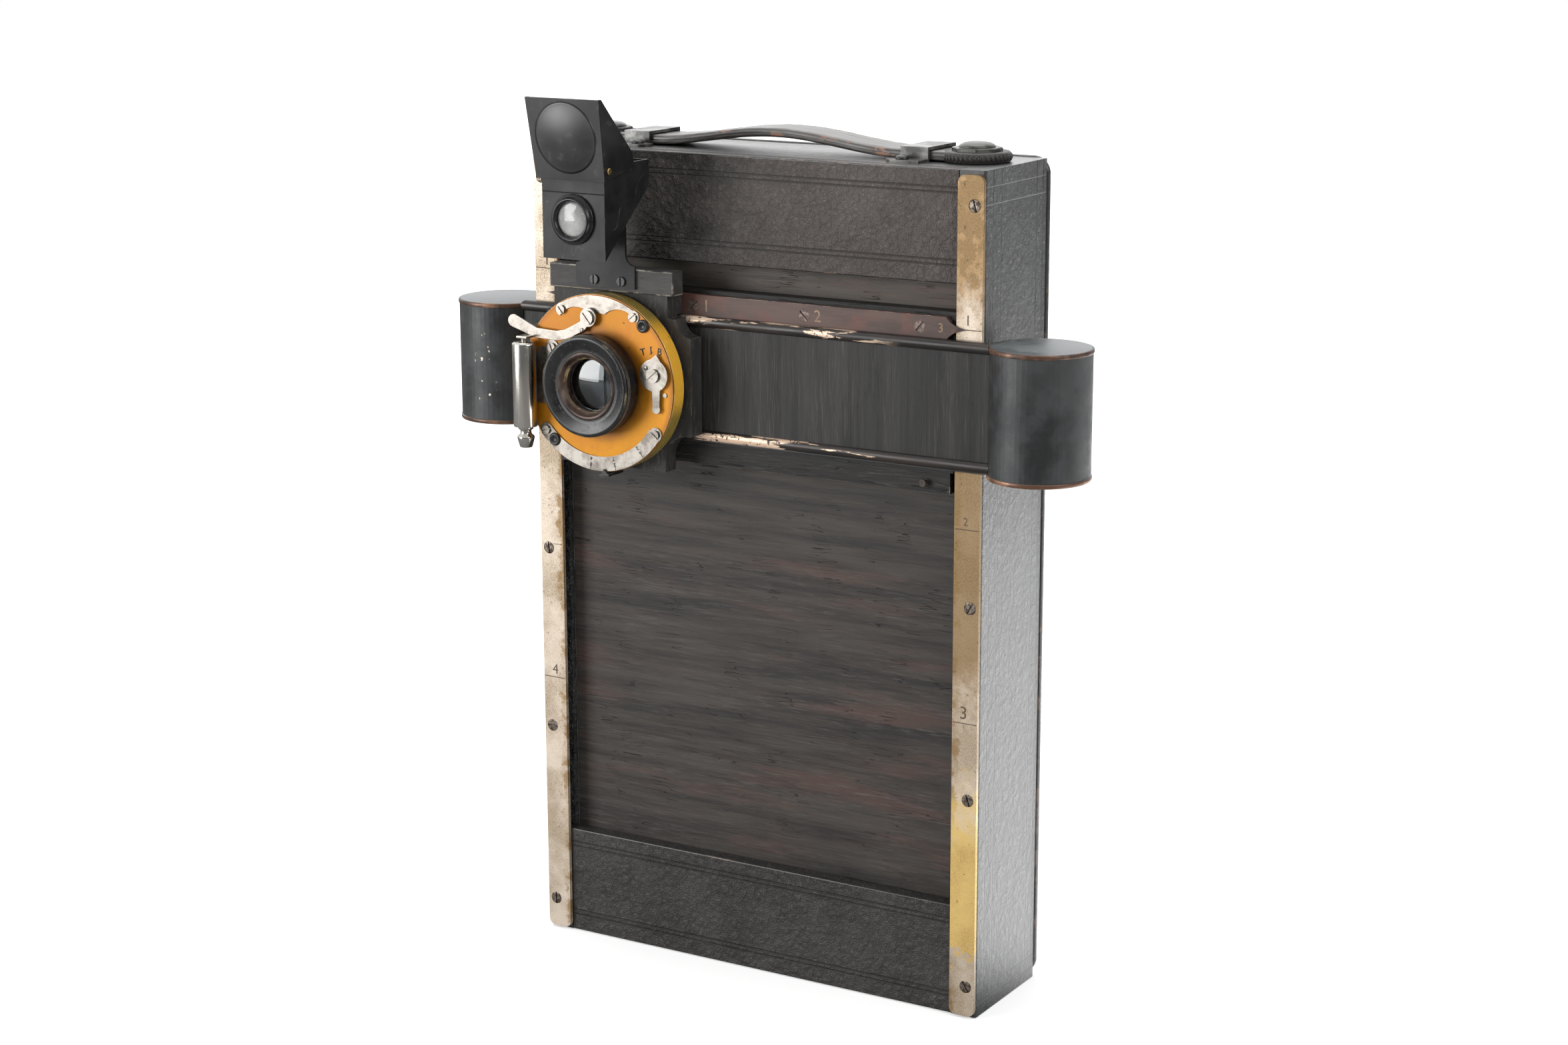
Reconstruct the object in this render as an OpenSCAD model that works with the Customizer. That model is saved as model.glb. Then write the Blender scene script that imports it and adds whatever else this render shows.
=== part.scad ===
// Multiplying camera for one 5 x 8 inch plate, about 1900.
// Millimetres. Z is up, X is to the right as seen from the front, the lens looks along -Y.
// The origin is the mouth of the tripod bush, in the middle of the case's underside.
// Depths below are measured back from the front face of the case, so a negative depth stands in front of it.

/* [Case] */
// Width of the leather-covered case
body_w = 180; // [176:1:240]
// Depth of the case with its back panel
body_d = 48; // [44:1:70]
// Height of the case
body_h = 295; // [285:1:400]
// Thickness of the side boards, which is also the width of the rails
side_t = 9.6; // [8:0.2:12]
// Thickness of the top and bottom boards
board_t = 7; // [5:0.5:9]
// Thickness of the two front panels
panel_t = 5.6; // [3:0.1:5.7]
// Height of the upper front panel
upper_panel_h = 38; // [34:1:44]
// Height of the lower front panel
lower_panel_h = 40; // [34:1:41]
// Thickness of the back panel
back_t = 2.6; // [2:0.2:5]
// How far the back panel stands proud of the sides
back_lip = 0.5; // [0:0.1:1]
// Radius of the back panel's corners
back_corner_r = 6; // [2:0.5:12]
// Travel of the back panel when it is drawn off
back_travel = 40; // [20:5:80]

/* [Plate] */
// Width of the glass plate, 5 inches
plate_w = 127; // [100:1:140]
// Height of the glass plate, 8 inches
plate_h = 203.2; // [150:0.2:210]
// Thickness of the glass plate
plate_t = 1.8; // [1.2:0.1:2.5]
// How far the plate's centre lies below the middle of the case
plate_drop = 0.1; // [0:0.1:2]

/* [Rails] */
// Thickness of the nickelled rails
rail_t = 1.5; // [1:0.1:2]
// Radius of the rail corners
rail_corner_r = 2.6; // [1:0.2:4]
// Distance of the rail screws from the outer edge of the case
rail_screw_inset = 3.3; // [2.8:0.1:5]
// Height of the lowest rail screw
rail_screw_low = 11.5; // [8:0.5:20]
// Screws in one rail
rail_screw_count = 5; // [3:1:7]

/* [Tripod bush] */
// Radius of the tapped hole, as a plain bore
bush_bore_r = 4; // [3:0.1:5]
// Outer radius of the bush
bush_r = 7.5; // [6:0.5:10]
// Radius of the bush flange
bush_flange_r = 12; // [10:0.5:16]

/* [Handle] */
// Width of the leather strap
strap_w = 17.6; // [12:0.1:24]
// Thickness of the strap
strap_t = 3.2; // [2:0.2:5]
// Rise of the strap in the middle
strap_bow = 4.7; // [4.4:0.1:20]
// Free length of the strap between its keepers
keeper_span = 101; // [80:1:112]
// Length of a keeper along the strap
keeper_l = 10.5; // [8:0.5:14]
// Sheet thickness of a keeper
keeper_t = 1; // [0.8:0.1:2]
// Distance of an end pad's centre from the end of the case
pad_inset = 15.7; // [13:0.1:17]
// Radius of an end pad
pad_r = 12.3; // [9:0.1:12.4]
// Thickness of an end pad
pad_t = 3.6; // [2.5:0.1:5]
// Ribs round an end pad
pad_ribs = 36; // [20:1:60]

/* [Blinds] */
// Depth of the vertical blinds behind the front face
blind_y = 6; // [5.8:0.1:8]
// Thickness of the vertical blinds
blind_t = 1.6; // [1:0.1:2]
// Radius of the rolled-up vertical blind
roll_r = 9.2; // [7:0.1:11]
// Thickness of the cross blind
cross_t = 1; // [0.6:0.1:1.1]

/* [Carriage] */
// Height of the carriage's pointers above the lens axis
pointer_rise = 27.2; // [27:0.1:27.6]
// Height of the scale bar
scale_h = 7.8; // [6:0.2:7.8]
// Distance of the cross band's lower edge below the lens axis
band_low = 20.7; // [20:0.1:22]
// Distance of the cross band's upper edge above the lens axis
band_high = 23.8; // [22:0.1:23.9]
// Radius of the half-round mouldings along the band
moulding_r = 1.95; // [1.6:0.05:2]
// Distance of the carriage's upper edge above the lens axis
carriage_rise = 32.6; // [31.5:0.1:33]
// Distance of the carriage's lower edge below the lens axis
carriage_drop = 29.2; // [28:0.1:30]
// Distance from one screw of the scale bar to the next
scale_pitch = 44.7; // [30:0.1:50]

/* [Drums] */
// Gap between a drum's caps and the side of the case
drum_gap = 0.69; // [0.4:0.01:3]
// Depth of the drum axes
drum_y = 5.48; // [4:0.02:6]
// Outer radius of a drum
drum_r = 17.2; // [14:0.1:21]
// Wall of a drum
drum_wall = 0.9; // [0.6:0.1:1.5]
// How far a drum's cap stands out beyond its wall
cap_rim = 0.35; // [0.2:0.05:0.6]
// Distance of a drum's lower end below the lens axis
drum_low = 21.7; // [21:0.1:24]
// Distance of a drum's upper end above the lens axis
drum_high = 22.7; // [22.6:0.1:24]
// Thickness of a drum cap
cap_t = 1.6; // [1.2:0.1:2]

/* [Lens board] */
// How far the lens stands beyond the first column at its left stop
lens_overrun = 8.2; // [0:0.1:8.4]
// Half width of the lens board
board_half = 33.4; // [32.6:0.1:34]
// Front face of the lens board
board_front = -12.2; // [-13:0.1:-11]
// Back face of the lens board
board_back = -5.5; // [-6:0.1:-5.4]
// Radius of the light hole in the board
light_r = 12; // [9:0.5:14]

/* [Shutter] */
// Radius of the brass case
shutter_r = 31.4; // [30:0.1:31.6]
// Front face of the shutter
shutter_front = -20.8; // [-22:0.1:-20]
// Wall of the brass case
shutter_wall = 0.9; // [0.6:0.1:1.4]
// Radius of the light opening between the blades
aperture_r = 9; // [6:0.5:9.5]
// Height of the blade pivot above the lens axis
blade_pivot = 18; // [16:0.5:19]

/* [Lens] */
// Radius of the knurled lens ring
ring_r = 17.9; // [16:0.1:18.4]
// Front of the lens ring
ring_front = -29.5; // [-31:0.1:-28]
// Radius of the brown bezel
bezel_r = 12; // [11:0.1:13]
// Radius of the clear glass
glass_r = 9.4; // [8:0.1:10]

/* [Air cylinder] */
// Outer radius of the air cylinder
cylinder_r = 4.3; // [4:0.1:4.6]
// Radius of its bore
cylinder_bore = 3.5; // [3:0.1:3.7]
// Length of the cylinder
cylinder_l = 30.4; // [26:0.2:31]

/* [Finder] */
// Width of the finder box
finder_w = 25.8; // [21:0.2:31]
// Front face of the finder box
finder_front = -33.5; // [-35:0.1:-33]
// Back face of the finder box
finder_back = -6; // [-7:0.1:-5.8]
// Distance of the finder's lowest edge above the lens axis
finder_rise = 44.9; // [43:0.1:47]
// Height of the finder box
finder_h = 32.7; // [30:0.1:40]
// Sheet thickness of the finder
finder_t = 0.8; // [0.6:0.1:1]
// Radius of the finder lens
finder_lens_r = 5; // [4:0.1:6]
// Height of the folding hood
hood_h = 27.8; // [20:0.1:34]

/* [Fits] */
// Running clearance between a shaft and its hole
run_c = 0.06; // [0.02:0.01:0.1]
// Gap between pieces that slide past each other
slide_c = 0.3; // [0.2:0.05:0.5]
// Gap between pieces that are fixed together
fix_c = 0.05; // [0.02:0.01:0.1]

/* [Hidden] */
$fn = 64;

half_w = body_w/2;
front_y = -body_d/2;
plate_z = body_h/2 - plate_drop;
lens_x = -plate_w/3 - lens_overrun;
lens_z = plate_z + plate_h/3;
pointer_z = lens_z + pointer_rise;
band_z0 = lens_z - band_low;
band_z1 = lens_z + band_high;
carriage_top = lens_z + carriage_rise;
carriage_foot = lens_z - carriage_drop;
drum_x = half_w + drum_gap + cap_rim + drum_r;
drum_z0 = lens_z - drum_low;
drum_z1 = lens_z + drum_high;
inner_x = half_w - side_t;
case_y1 = body_d - back_t - slide_c;
lip_t = 3;
rail_x = half_w - rail_screw_inset;
rail_z0 = 0.6;
rail_z1 = body_h - 1.5;
rail_screw_pitch = (body_h - 2*rail_screw_low)/(rail_screw_count - 1);

// Grooves in the side boards: one behind the rails for the carriage, one for the blinds
tongue_depth = 3;
rail_screw_shank = 1.1;
tongue_reach = side_t - rail_screw_inset - rail_screw_shank - 0.6;
blind_groove = 3;
blind_half = inner_x + blind_groove - slide_c;
upper_panel_z = body_h - upper_panel_h;
upper_roll_z = upper_panel_z + (upper_panel_h - board_t)/2;
lower_roll_z = board_t + (lower_panel_h - board_t)/2;
roll_y = blind_y + blind_t + slide_c + roll_r;
roll_pin_r = 2;
roll_pin_l = 4.5;

keeper_x = keeper_span/2;
pad_x = half_w - pad_inset;
strap_z = body_h + 0.4;
strap_end = pad_x - 4;
keeper_in_h = strap_t + 0.7;
keeper_in_w = strap_w + 0.6;
foot_w = 7;
foot_l = 13.6;
foot_screw = foot_w/2 + 2.2;
foot_y = keeper_in_w/2 + keeper_t + foot_w/2;
strap_steps = 24;

rail_front = -rail_t;
plate_front = rail_front - slide_c - 0.8;
plate_back = rail_front - slide_c;
cross_back = plate_front - 0.1;
cross_front = cross_back - cross_t;
spool_r = drum_y - cross_back - slide_c;
moulding_y = plate_front - 0.65;
moulding_top = band_z1 - moulding_r;
moulding_low = band_z0 + moulding_r + 0.6;
cross_z0 = moulding_low + 0.95;
cross_z1 = moulding_top - 0.95;
window_half = light_r + 5.5 - lens_x;
window_z0 = moulding_low + moulding_r + 0.5;
window_z1 = moulding_top - moulding_r - 0.4;
scale_t = 2;
scale_back = -slide_c;
scale_front = scale_back - scale_t;
scale_half = inner_x - 2;
tip_x = half_w - 4.7;
tongue_u = 20;
tongue_back = plate_front - slide_c;
scale_screws = [for (i = [-1.5:1:1.5]) i*scale_pitch];

flange_back = board_front;
flange_front = board_front - 0.7;
ring_gap = 0.05;
iris_front = flange_front - ring_gap - 0.6;
shutter_back = iris_front - ring_gap;
face_t = 1;
furniture_y = shutter_front;
crescent_t = 0.5;
lever_pivot = inside_rim(8, 95.4);
selector_at = inside_rim(6.5, 11.8);
cylinder_at = [3.6 - shutter_r, -17.3];
cylinder_y = shutter_front - cylinder_r - 0.5;
lever_y = shutter_front - 1.3;
lever_t = 0.9;
finder_z0 = lens_z + finder_rise;
finder_z1 = finder_z0 + finder_h;
finder_z = finder_z0 + 14;
finder_slant = finder_z1 - 8.8;
hood_hinge = [finder_front + 0.5, finder_z1 - 1.7];
hood_t = 0.6;
hood_half = finder_w/2 + 1.2;
hood_flare = 1;
hood_z0 = hood_hinge[1] - 3.3;
hood_z1 = hood_z0 + hood_h;
hood_y0 = hood_hinge[0] - 1.4;
hood_y1 = hood_y0 - 4.5;

// A point on the shutter's face, a distance inside its rim, at an angle from +X
function inside_rim(d, a) = (shutter_r - d)*[cos(a), sin(a)];

// Moves children from depth measured at the front face to the frame of the whole camera
module on_front() {
    translate([0, front_y, 0]) children();
}

// Moves children to the lens axis
module at_lens() {
    translate([lens_x, front_y, lens_z]) children();
}

// Stands an outline drawn as (x, z) upright, from depth y_back towards the viewer
module upright(y_back, thick) {
    translate([0, y_back, 0]) rotate([90, 0, 0]) linear_extrude(thick) children();
}

// Runs a section drawn as (y, z) along X
module along_x(x0, x1) {
    translate([x0, 0, 0]) rotate([90, 0, 90]) linear_extrude(x1 - x0) children();
}

module block(x0, x1, y0, y1, z0, z1) {
    translate([x0, y0, z0]) cube([x1 - x0, y1 - y0, z1 - z0]);
}

// A round bar along Y from y0 to y1
module rod_y(r, y0, y1) {
    translate([0, y1, 0]) rotate([90, 0, 0]) cylinder(r = r, h = y1 - y0);
}

module rod_x(r, x0, x1) {
    translate([x0, 0, 0]) rotate([0, 90, 0]) cylinder(r = r, h = x1 - x0);
}

// A rectangle with round corners, from arcs
module rounded(x0, x1, z0, z1, r) {
    translate([x0 + r, z0]) square([x1 - x0 - 2*r, z1 - z0]);
    translate([x0, z0 + r]) square([x1 - x0, z1 - z0 - 2*r]);
    for (x = [x0 + r, x1 - r], z = [z0 + r, z1 - r]) translate([x, z]) circle(r);
}

// A slotted screw along Y with its head's face at depth y_face
module slotted_screw(y_face, head_r, head_t, shank_r, shank_l, turn = 0) {
    difference() {
        union() {
            rod_y(head_r, y_face, y_face + head_t);
            rod_y(shank_r, y_face + head_t - 0.01, y_face + head_t + shank_l);
        }
        rotate([0, turn, 0]) block(-head_r - 1, head_r + 1, y_face - 1, y_face + 0.4, -0.3, 0.3);
    }
}

// A round body with a flat back, a straight edge and a domed front, along Z
module dome(r, edge, rise) {
    rotate_extrude() polygon(concat([[0, 0], [r, 0]],
        [for (i = [0:6]) [r*cos(15*i), edge + rise*(1 - pow(cos(15*i), 2))]]));
}

// One arc of a ring, drawn as an outline between two angles in degrees
function arc(r, a0, a1, n) = [for (i = [0:n]) r*[cos(a0 + (a1 - a0)*i/n), sin(a0 + (a1 - a0)*i/n)]];

module sector(r0, r1, a0, a1) {
    reach = 1.6*r1;
    intersection() {
        difference() {
            circle(r1);
            circle(r0);
        }
        polygon(concat([[0, 0]], arc(reach, a0, a1, 8)));
    }
}

// Case

module side_outline() {
    difference() {
        translate([inner_x, 0]) square([side_t, case_y1]);
        translate([half_w - 1, -0.01]) square([1.01, 1.01]);
    }
    translate([half_w - 1, 1]) circle(1);
}

module side_board(s) {
    color("#2b2927") on_front() mirror([s < 0 ? 1 : 0, 0, 0]) difference() {
        linear_extrude(body_h) side_outline();
        block(inner_x - 1, inner_x + tongue_reach, -1, tongue_depth, lower_panel_h, upper_panel_z);
        block(inner_x - 1, inner_x + blind_groove, blind_y - slide_c, blind_y + blind_t + slide_c,
              board_t, body_h - board_t);
        for (z = [upper_roll_z, lower_roll_z])
            translate([0, roll_y, z]) rod_x(roll_pin_r + run_c, inner_x - 1, inner_x + roll_pin_l + 0.4);
        for (i = [0:rail_screw_count - 1])
            translate([rail_x, 0, rail_screw_low + i*rail_screw_pitch]) rod_y(rail_screw_shank + fix_c, -1, 6.4);
    }
}

module left_side() { side_board(-1); }

module right_side() { side_board(1); }

module top_board() {
    color("#302e2c") on_front() difference() {
        block(-inner_x, inner_x, panel_t, case_y1, body_h - board_t, body_h);
        for (x = [-1, 1], y = [-1, 1])
            translate([x*(keeper_x + keeper_l - foot_l + foot_screw), body_d/2 + y*foot_y, body_h - 5])
                cylinder(r = 0.9 + fix_c, h = 6);
    }
}

module bottom_board() {
    color("#302e2c") difference() {
        on_front() block(-inner_x, inner_x, panel_t, case_y1, 0, board_t);
        translate([0, 0, -1]) cylinder(r = bush_r + fix_c, h = board_t + 2);
        translate([0, 0, board_t - 1.5]) cylinder(r = bush_flange_r + fix_c, h = 2);
    }
}

module front_panel(z0, z1) {
    color("#2e2b2a") on_front() block(-inner_x + fix_c, inner_x - fix_c, 0, panel_t, z0, z1);
}

module upper_front_panel() { front_panel(upper_panel_z, body_h); }

module lower_front_panel() { front_panel(0, lower_panel_h); }

module rail(s) {
    mirror([s < 0 ? 1 : 0, 0, 0]) difference() {
        upright(0, rail_t) rounded(inner_x, half_w, rail_z0, rail_z1, rail_corner_r);
        for (i = [0:rail_screw_count - 1])
            translate([rail_x, 0, rail_screw_low + i*rail_screw_pitch]) rod_y(2.2 + fix_c, -rail_t - 1, 1);
    }
}

module index_rails() {
    color("#c2b099") on_front() {
        rail(-1);
        rail(1);
    }
}

module rail_screws() {
    color("#8c8378") on_front() for (s = [-1, 1], i = [0:rail_screw_count - 1])
        translate([s*rail_x, 0, rail_screw_low + i*rail_screw_pitch])
            slotted_screw(-rail_t, 2.2, rail_t, rail_screw_shank, 6, 40*i + 25*s);
}

module tripod_bush() {
    color("#b08d4a") difference() {
        union() {
            cylinder(r = bush_r, h = board_t);
            translate([0, 0, board_t - 1.5 + fix_c]) cylinder(r = bush_flange_r, h = 1.5);
        }
        translate([0, 0, -1]) cylinder(r = bush_bore_r, h = board_t + 3);
    }
}

frame_y1 = case_y1 - lip_t - slide_c;
frame_t = 6;

module plate_frame() {
    rebate = 2;
    color("#4a3426") on_front() difference() {
        block(-inner_x + fix_c, inner_x - fix_c, frame_y1 - frame_t, frame_y1,
              board_t + fix_c, body_h - board_t - fix_c);
        block(-plate_w/2 + rebate, plate_w/2 - rebate, frame_y1 - frame_t - 1, frame_y1 + 1,
              plate_z - plate_h/2 + rebate, plate_z + plate_h/2 - rebate);
        block(-plate_w/2 - fix_c, plate_w/2 + fix_c, frame_y1 - frame_t + 2, frame_y1 + 1,
              plate_z - plate_h/2 - fix_c, plate_z + plate_h/2 + fix_c);
    }
}

module glass_plate() {
    color([0.75, 0.8, 0.78, 0.5]) on_front()
        block(-plate_w/2, plate_w/2, frame_y1 - frame_t + 2, frame_y1 - frame_t + 2 + plate_t,
              plate_z - plate_h/2, plate_z + plate_h/2);
}

module back_panel() {
    color("#2b2927") on_front() {
        upright(body_d, back_t)
            rounded(-half_w - back_lip, half_w + back_lip, 0.4, body_h + back_lip, back_corner_r);
        block(-inner_x + slide_c, inner_x - slide_c, body_d - back_t - lip_t, body_d - back_t + 0.01,
              board_t + slide_c, body_h - board_t - slide_c);
    }
}

// Handle

// Height of the strap's underside at x: flat through the keepers, bowed between them
function strap_rise(x) = abs(x) < keeper_x ? strap_bow*pow(cos(90*x/keeper_x), 2) : 0;

module handle_strap() {
    xs = [for (i = [-strap_steps:strap_steps]) keeper_x*i/strap_steps];
    lower = concat([[-strap_end, 0]], [for (x = xs) [x, strap_rise(x)]], [[strap_end, 0]]);
    upper = [for (i = [len(lower) - 1:-1:0]) lower[i] + [0, strap_t]];
    color("#3a3431") translate([0, strap_w/2, strap_z]) rotate([90, 0, 0])
        linear_extrude(strap_w) polygon(concat(lower, upper));
}

// The ribbed pad takes the strap's end in a slot, under an eight-sided cap with a domed middle
module strap_pad(s) {
    seat = pad_x - strap_end - slide_c;
    pad_top = body_h + fix_c + pad_t;
    mirror([s < 0 ? 1 : 0, 0, 0]) translate([pad_x, 0, 0]) {
        difference() {
            translate([0, 0, body_h + fix_c]) linear_extrude(pad_t) {
                circle(pad_r - 0.4);
                for (i = [0:pad_ribs - 1]) rotate(360*i/pad_ribs) translate([pad_r - 0.5, 0]) circle(0.5);
            }
            block(-pad_r - 1, -seat, -strap_w/2 - 0.2, strap_w/2 + 0.2,
                  strap_z - 0.2, strap_z + strap_t + 0.2);
        }
        translate([0, 0, pad_top]) rotate(22.5) cylinder(r = 8.6, h = 1.3, $fn = 8);
        translate([0, 0, pad_top + 1.3]) dome(6.2, 0.4, 1.6);
    }
}

module strap_ends() {
    color("#35312e") {
        strap_pad(-1);
        strap_pad(1);
    }
}

// A black sheet-metal bridge over the strap, with a screwed foot in front and behind
module keeper(s) {
    mirror([s < 0 ? 1 : 0, 0, 0]) {
        difference() {
            block(keeper_x, keeper_x + keeper_l, -keeper_in_w/2 - keeper_t, keeper_in_w/2 + keeper_t,
                  body_h, body_h + keeper_in_h + keeper_t);
            block(keeper_x - 1, keeper_x + keeper_l + 1, -keeper_in_w/2, keeper_in_w/2,
                  body_h - 1, body_h + keeper_in_h);
        }
        for (f = [-1, 1]) mirror([0, f < 0 ? 1 : 0, 0])
            translate([keeper_x + keeper_l - foot_l, foot_y - foot_w/2, body_h]) difference() {
                linear_extrude(keeper_t) {
                    translate([foot_w/2, 0]) square([foot_l - foot_w/2, foot_w]);
                    translate([foot_w/2, foot_w/2]) circle(foot_w/2);
                }
                translate([foot_screw, foot_w/2, -1]) cylinder(r = 0.9 + fix_c, h = 4);
            }
    }
}

module strap_keepers() {
    color("#2a2a2b") {
        keeper(-1);
        keeper(1);
    }
}

module keeper_screws() {
    screw_x = keeper_x + keeper_l - foot_l + foot_screw;
    color("#2a2a2b") for (s = [-1, 1], f = [-1, 1])
        translate([s*screw_x, f*foot_y, body_h + keeper_t]) {
            dome(2.3, 0.3, 1.1);
            translate([0, 0, -5]) cylinder(r = 0.9, h = 5.01);
        }
}

// Vertical blinds and their rollers

module vertical_blind(z0, z1) {
    color("#241d1a") on_front() block(-blind_half, blind_half, blind_y, blind_y + blind_t, z0, z1);
}

module upper_blind() { vertical_blind(carriage_top - 6, upper_roll_z); }

module lower_blind() { vertical_blind(lower_roll_z, band_z0 + 2); }

// Wooden spring roller with the wound part of a blind
module roller(z) {
    color("#3b2c22") on_front() translate([0, roll_y, z]) {
        rod_x(roll_r, -inner_x + 0.6, inner_x - 0.6);
        rod_x(roll_pin_r, -inner_x - roll_pin_l, inner_x + roll_pin_l);
    }
}

module upper_roller() { roller(upper_roll_z); }

module lower_roller() { roller(lower_roll_z); }

// Carriage

frame_half = inner_x - 0.5;

module carriage_frame() {
    foot = band_z0 - 1;
    color("#1f1d1c") on_front() difference() {
        union() {
            block(-frame_half, frame_half, plate_back + 0.1, blind_y - slide_c, foot, band_z1 - 1);
            block(-frame_half, frame_half, scale_back, blind_y - slide_c, band_z1 - 1.01, carriage_top);
            block(-inner_x - tongue_reach + slide_c, inner_x + tongue_reach - slide_c,
                  slide_c, tongue_depth - slide_c, foot, carriage_top);
        }
        block(-window_half, window_half, plate_back - 1, blind_y + 1, window_z0, window_z1);
        for (x = scale_screws) translate([x, 0, pointer_z]) rod_y(0.9 + fix_c, -1, 5.2);
    }
}

// Room for the drums in the ends of the band, wider at the caps
module drum_cuts() {
    for (s = [-1, 1]) translate([s*drum_x, drum_y, 0]) {
        cylinder(r = drum_r + fix_c, h = body_h);
        translate([0, 0, drum_z0 - 5]) cylinder(r = drum_r + cap_rim + fix_c, h = cap_t + 5 + fix_c);
        translate([0, 0, drum_z1 - cap_t - fix_c]) cylinder(r = drum_r + cap_rim + fix_c, h = cap_t + 5);
    }
}

module band_plate() {
    color("#232120") on_front() difference() {
        block(-drum_x, drum_x, plate_front, plate_back, band_z0, band_z1 - 1);
        block(-window_half, window_half, plate_front - 1, plate_back + 1, window_z0, window_z1);
        drum_cuts();
    }
}

// Half-round moulding with a rebate that holds one edge of the cross blind
module moulding_section(z_mid, z_flat, z_rebate) {
    difference() {
        intersection() {
            union() {
                translate([moulding_y, z_mid]) circle(moulding_r);
                translate([moulding_y, z_mid - moulding_r]) square([plate_front - moulding_y, 2*moulding_r]);
            }
            translate([moulding_y - 3, z_mid - 4]) square([plate_front - moulding_y + 3, 8]);
        }
        translate([cross_front - 0.1, min(z_flat, z_rebate)])
            square([plate_front - cross_front + 1, abs(z_rebate - z_flat)]);
    }
}

module band_mouldings() {
    color("#2b2522") on_front() difference() {
        union() {
            along_x(-drum_x, drum_x) moulding_section(moulding_top, moulding_top - 4, cross_z1 + 0.2);
            along_x(-drum_x, drum_x) moulding_section(moulding_low, moulding_low + 4, cross_z0 - 0.2);
        }
        drum_cuts();
    }
}

// Bronze bar whose ends are drawn out to points over the rails
module scale_bar() {
    chamfer = 1.6;
    h = scale_h/2;
    color("#6d5650") on_front() translate([0, 0, pointer_z]) difference() {
        union() {
            upright(scale_back, scale_t) polygon([
                [-scale_half, -h + chamfer], [-scale_half + chamfer, -h],
                [scale_half - chamfer, -h], [scale_half, -h + chamfer],
                [scale_half, h - chamfer], [scale_half - chamfer, h],
                [-scale_half + chamfer, h], [-scale_half, h - chamfer]]);
            for (s = [0, 1]) mirror([s, 0, 0]) upright(plate_back, 0.5)
                polygon(concat([[scale_half - 1, -2.2]],
                    [for (i = [0:6]) [scale_half + (tip_x - scale_half)*i/6, -2.2*pow(1 - i/6, 2)]],
                    [for (i = [5:-1:0]) [scale_half + (tip_x - scale_half)*i/6, 2.2*pow(1 - i/6, 2)]],
                    [[scale_half - 1, 2.2]]));
        }
        for (x = scale_screws) translate([x, 0, 0]) rod_y(2.1 + fix_c, scale_front - 1, scale_front + 1);
        for (x = scale_screws) translate([x, 0, 0]) rod_y(0.9 + fix_c, scale_front, scale_back + 1);
    }
}

peg_at = [inner_x - 11.4, carriage_foot + 3.3];

module band_screws() {
    color("#8a7f74") on_front() {
        for (x = scale_screws) translate([x, 0, pointer_z])
            slotted_screw(scale_front, 2.1, 1, 0.9, 6, 10*x);
        translate([peg_at[0], 0, peg_at[1]]) {
            rod_y(0.8, cleat_front - 1.4, cleat_front + 4);
            rod_y(1.3, cleat_front - 2.2, cleat_front - 1.4);
        }
    }
}

cleat_front = -1;

module lower_cleat() {
    color("#1f1d1c") on_front() difference() {
        block(-inner_x + 2, inner_x - 2, cleat_front, blind_y - slide_c, carriage_foot, band_z0 - 1);
        translate([peg_at[0], 0, peg_at[1]]) rod_y(0.8 + fix_c, cleat_front - 1, cleat_front + 4.2);
    }
}

// Thin round drum with a slot where the cross blind goes in
module drum_shell(s) {
    mirror([s < 0 ? 1 : 0, 0, 0]) difference() {
        translate([drum_x, drum_y, drum_z0 + cap_t]) cylinder(r = drum_r, h = drum_z1 - drum_z0 - 2*cap_t);
        translate([drum_x, drum_y, 0]) cylinder(r = drum_r - drum_wall, h = body_h);
        block(drum_x - drum_r - 1, drum_x - 8, cross_front - 0.4, cross_back + 0.4,
              cross_z0 - 0.3, drum_z1);
    }
}

module drums() {
    color("#232424") on_front() {
        drum_shell(-1);
        drum_shell(1);
    }
}

spool_pin_r = 1.5;

module drum_caps() {
    color("#7d5a42") on_front() for (s = [-1, 1], z = [drum_z0, drum_z1 - cap_t])
        translate([s*drum_x, drum_y, z]) difference() {
            union() {
                cylinder(r = drum_r + cap_rim, h = cap_t);
                if (z == drum_z0) cylinder(r = drum_r - drum_wall - fix_c, h = cap_t + 1);
            }
            translate([0, 0, z == drum_z0 ? 0.6 : -0.01])
                cylinder(r = spool_pin_r + run_c, h = z == drum_z0 ? cap_t + 1 : cap_t - 0.59);
        }
}

module spool(s) {
    color("#3b2c22") on_front() translate([s*drum_x, drum_y, 0]) {
        translate([0, 0, cross_z0]) cylinder(r = spool_r, h = cross_z1 - cross_z0);
        translate([0, 0, drum_z0 + 0.8]) cylinder(r = spool_pin_r, h = drum_z1 - drum_z0 - 1.6);
    }
}

module left_spool() { spool(-1); }

module right_spool() { spool(1); }

module cross_blind(x0, x1) {
    color("#262322") on_front() block(x0, x1, cross_front, cross_back, cross_z0, cross_z1);
}

module left_blind() { cross_blind(-drum_x, lens_x - tongue_u - 0.1); }

module right_blind() { cross_blind(lens_x + tongue_u + 0.1, drum_x); }

// Lens board

board_top = 31.6;
board_low = -31.1;
waist_top = 17.1;
waist_low = -17.5;
shoulder = 23.8;
tongue_half = 22.4;
cleat_top = 40.1;
cleat_y0 = -14;
cleat_y1 = -7.4;
cleat_left = -24.4;
cleat_right = 27.4;
notch_r = 6.3;
low_notch_r = 9;

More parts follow.
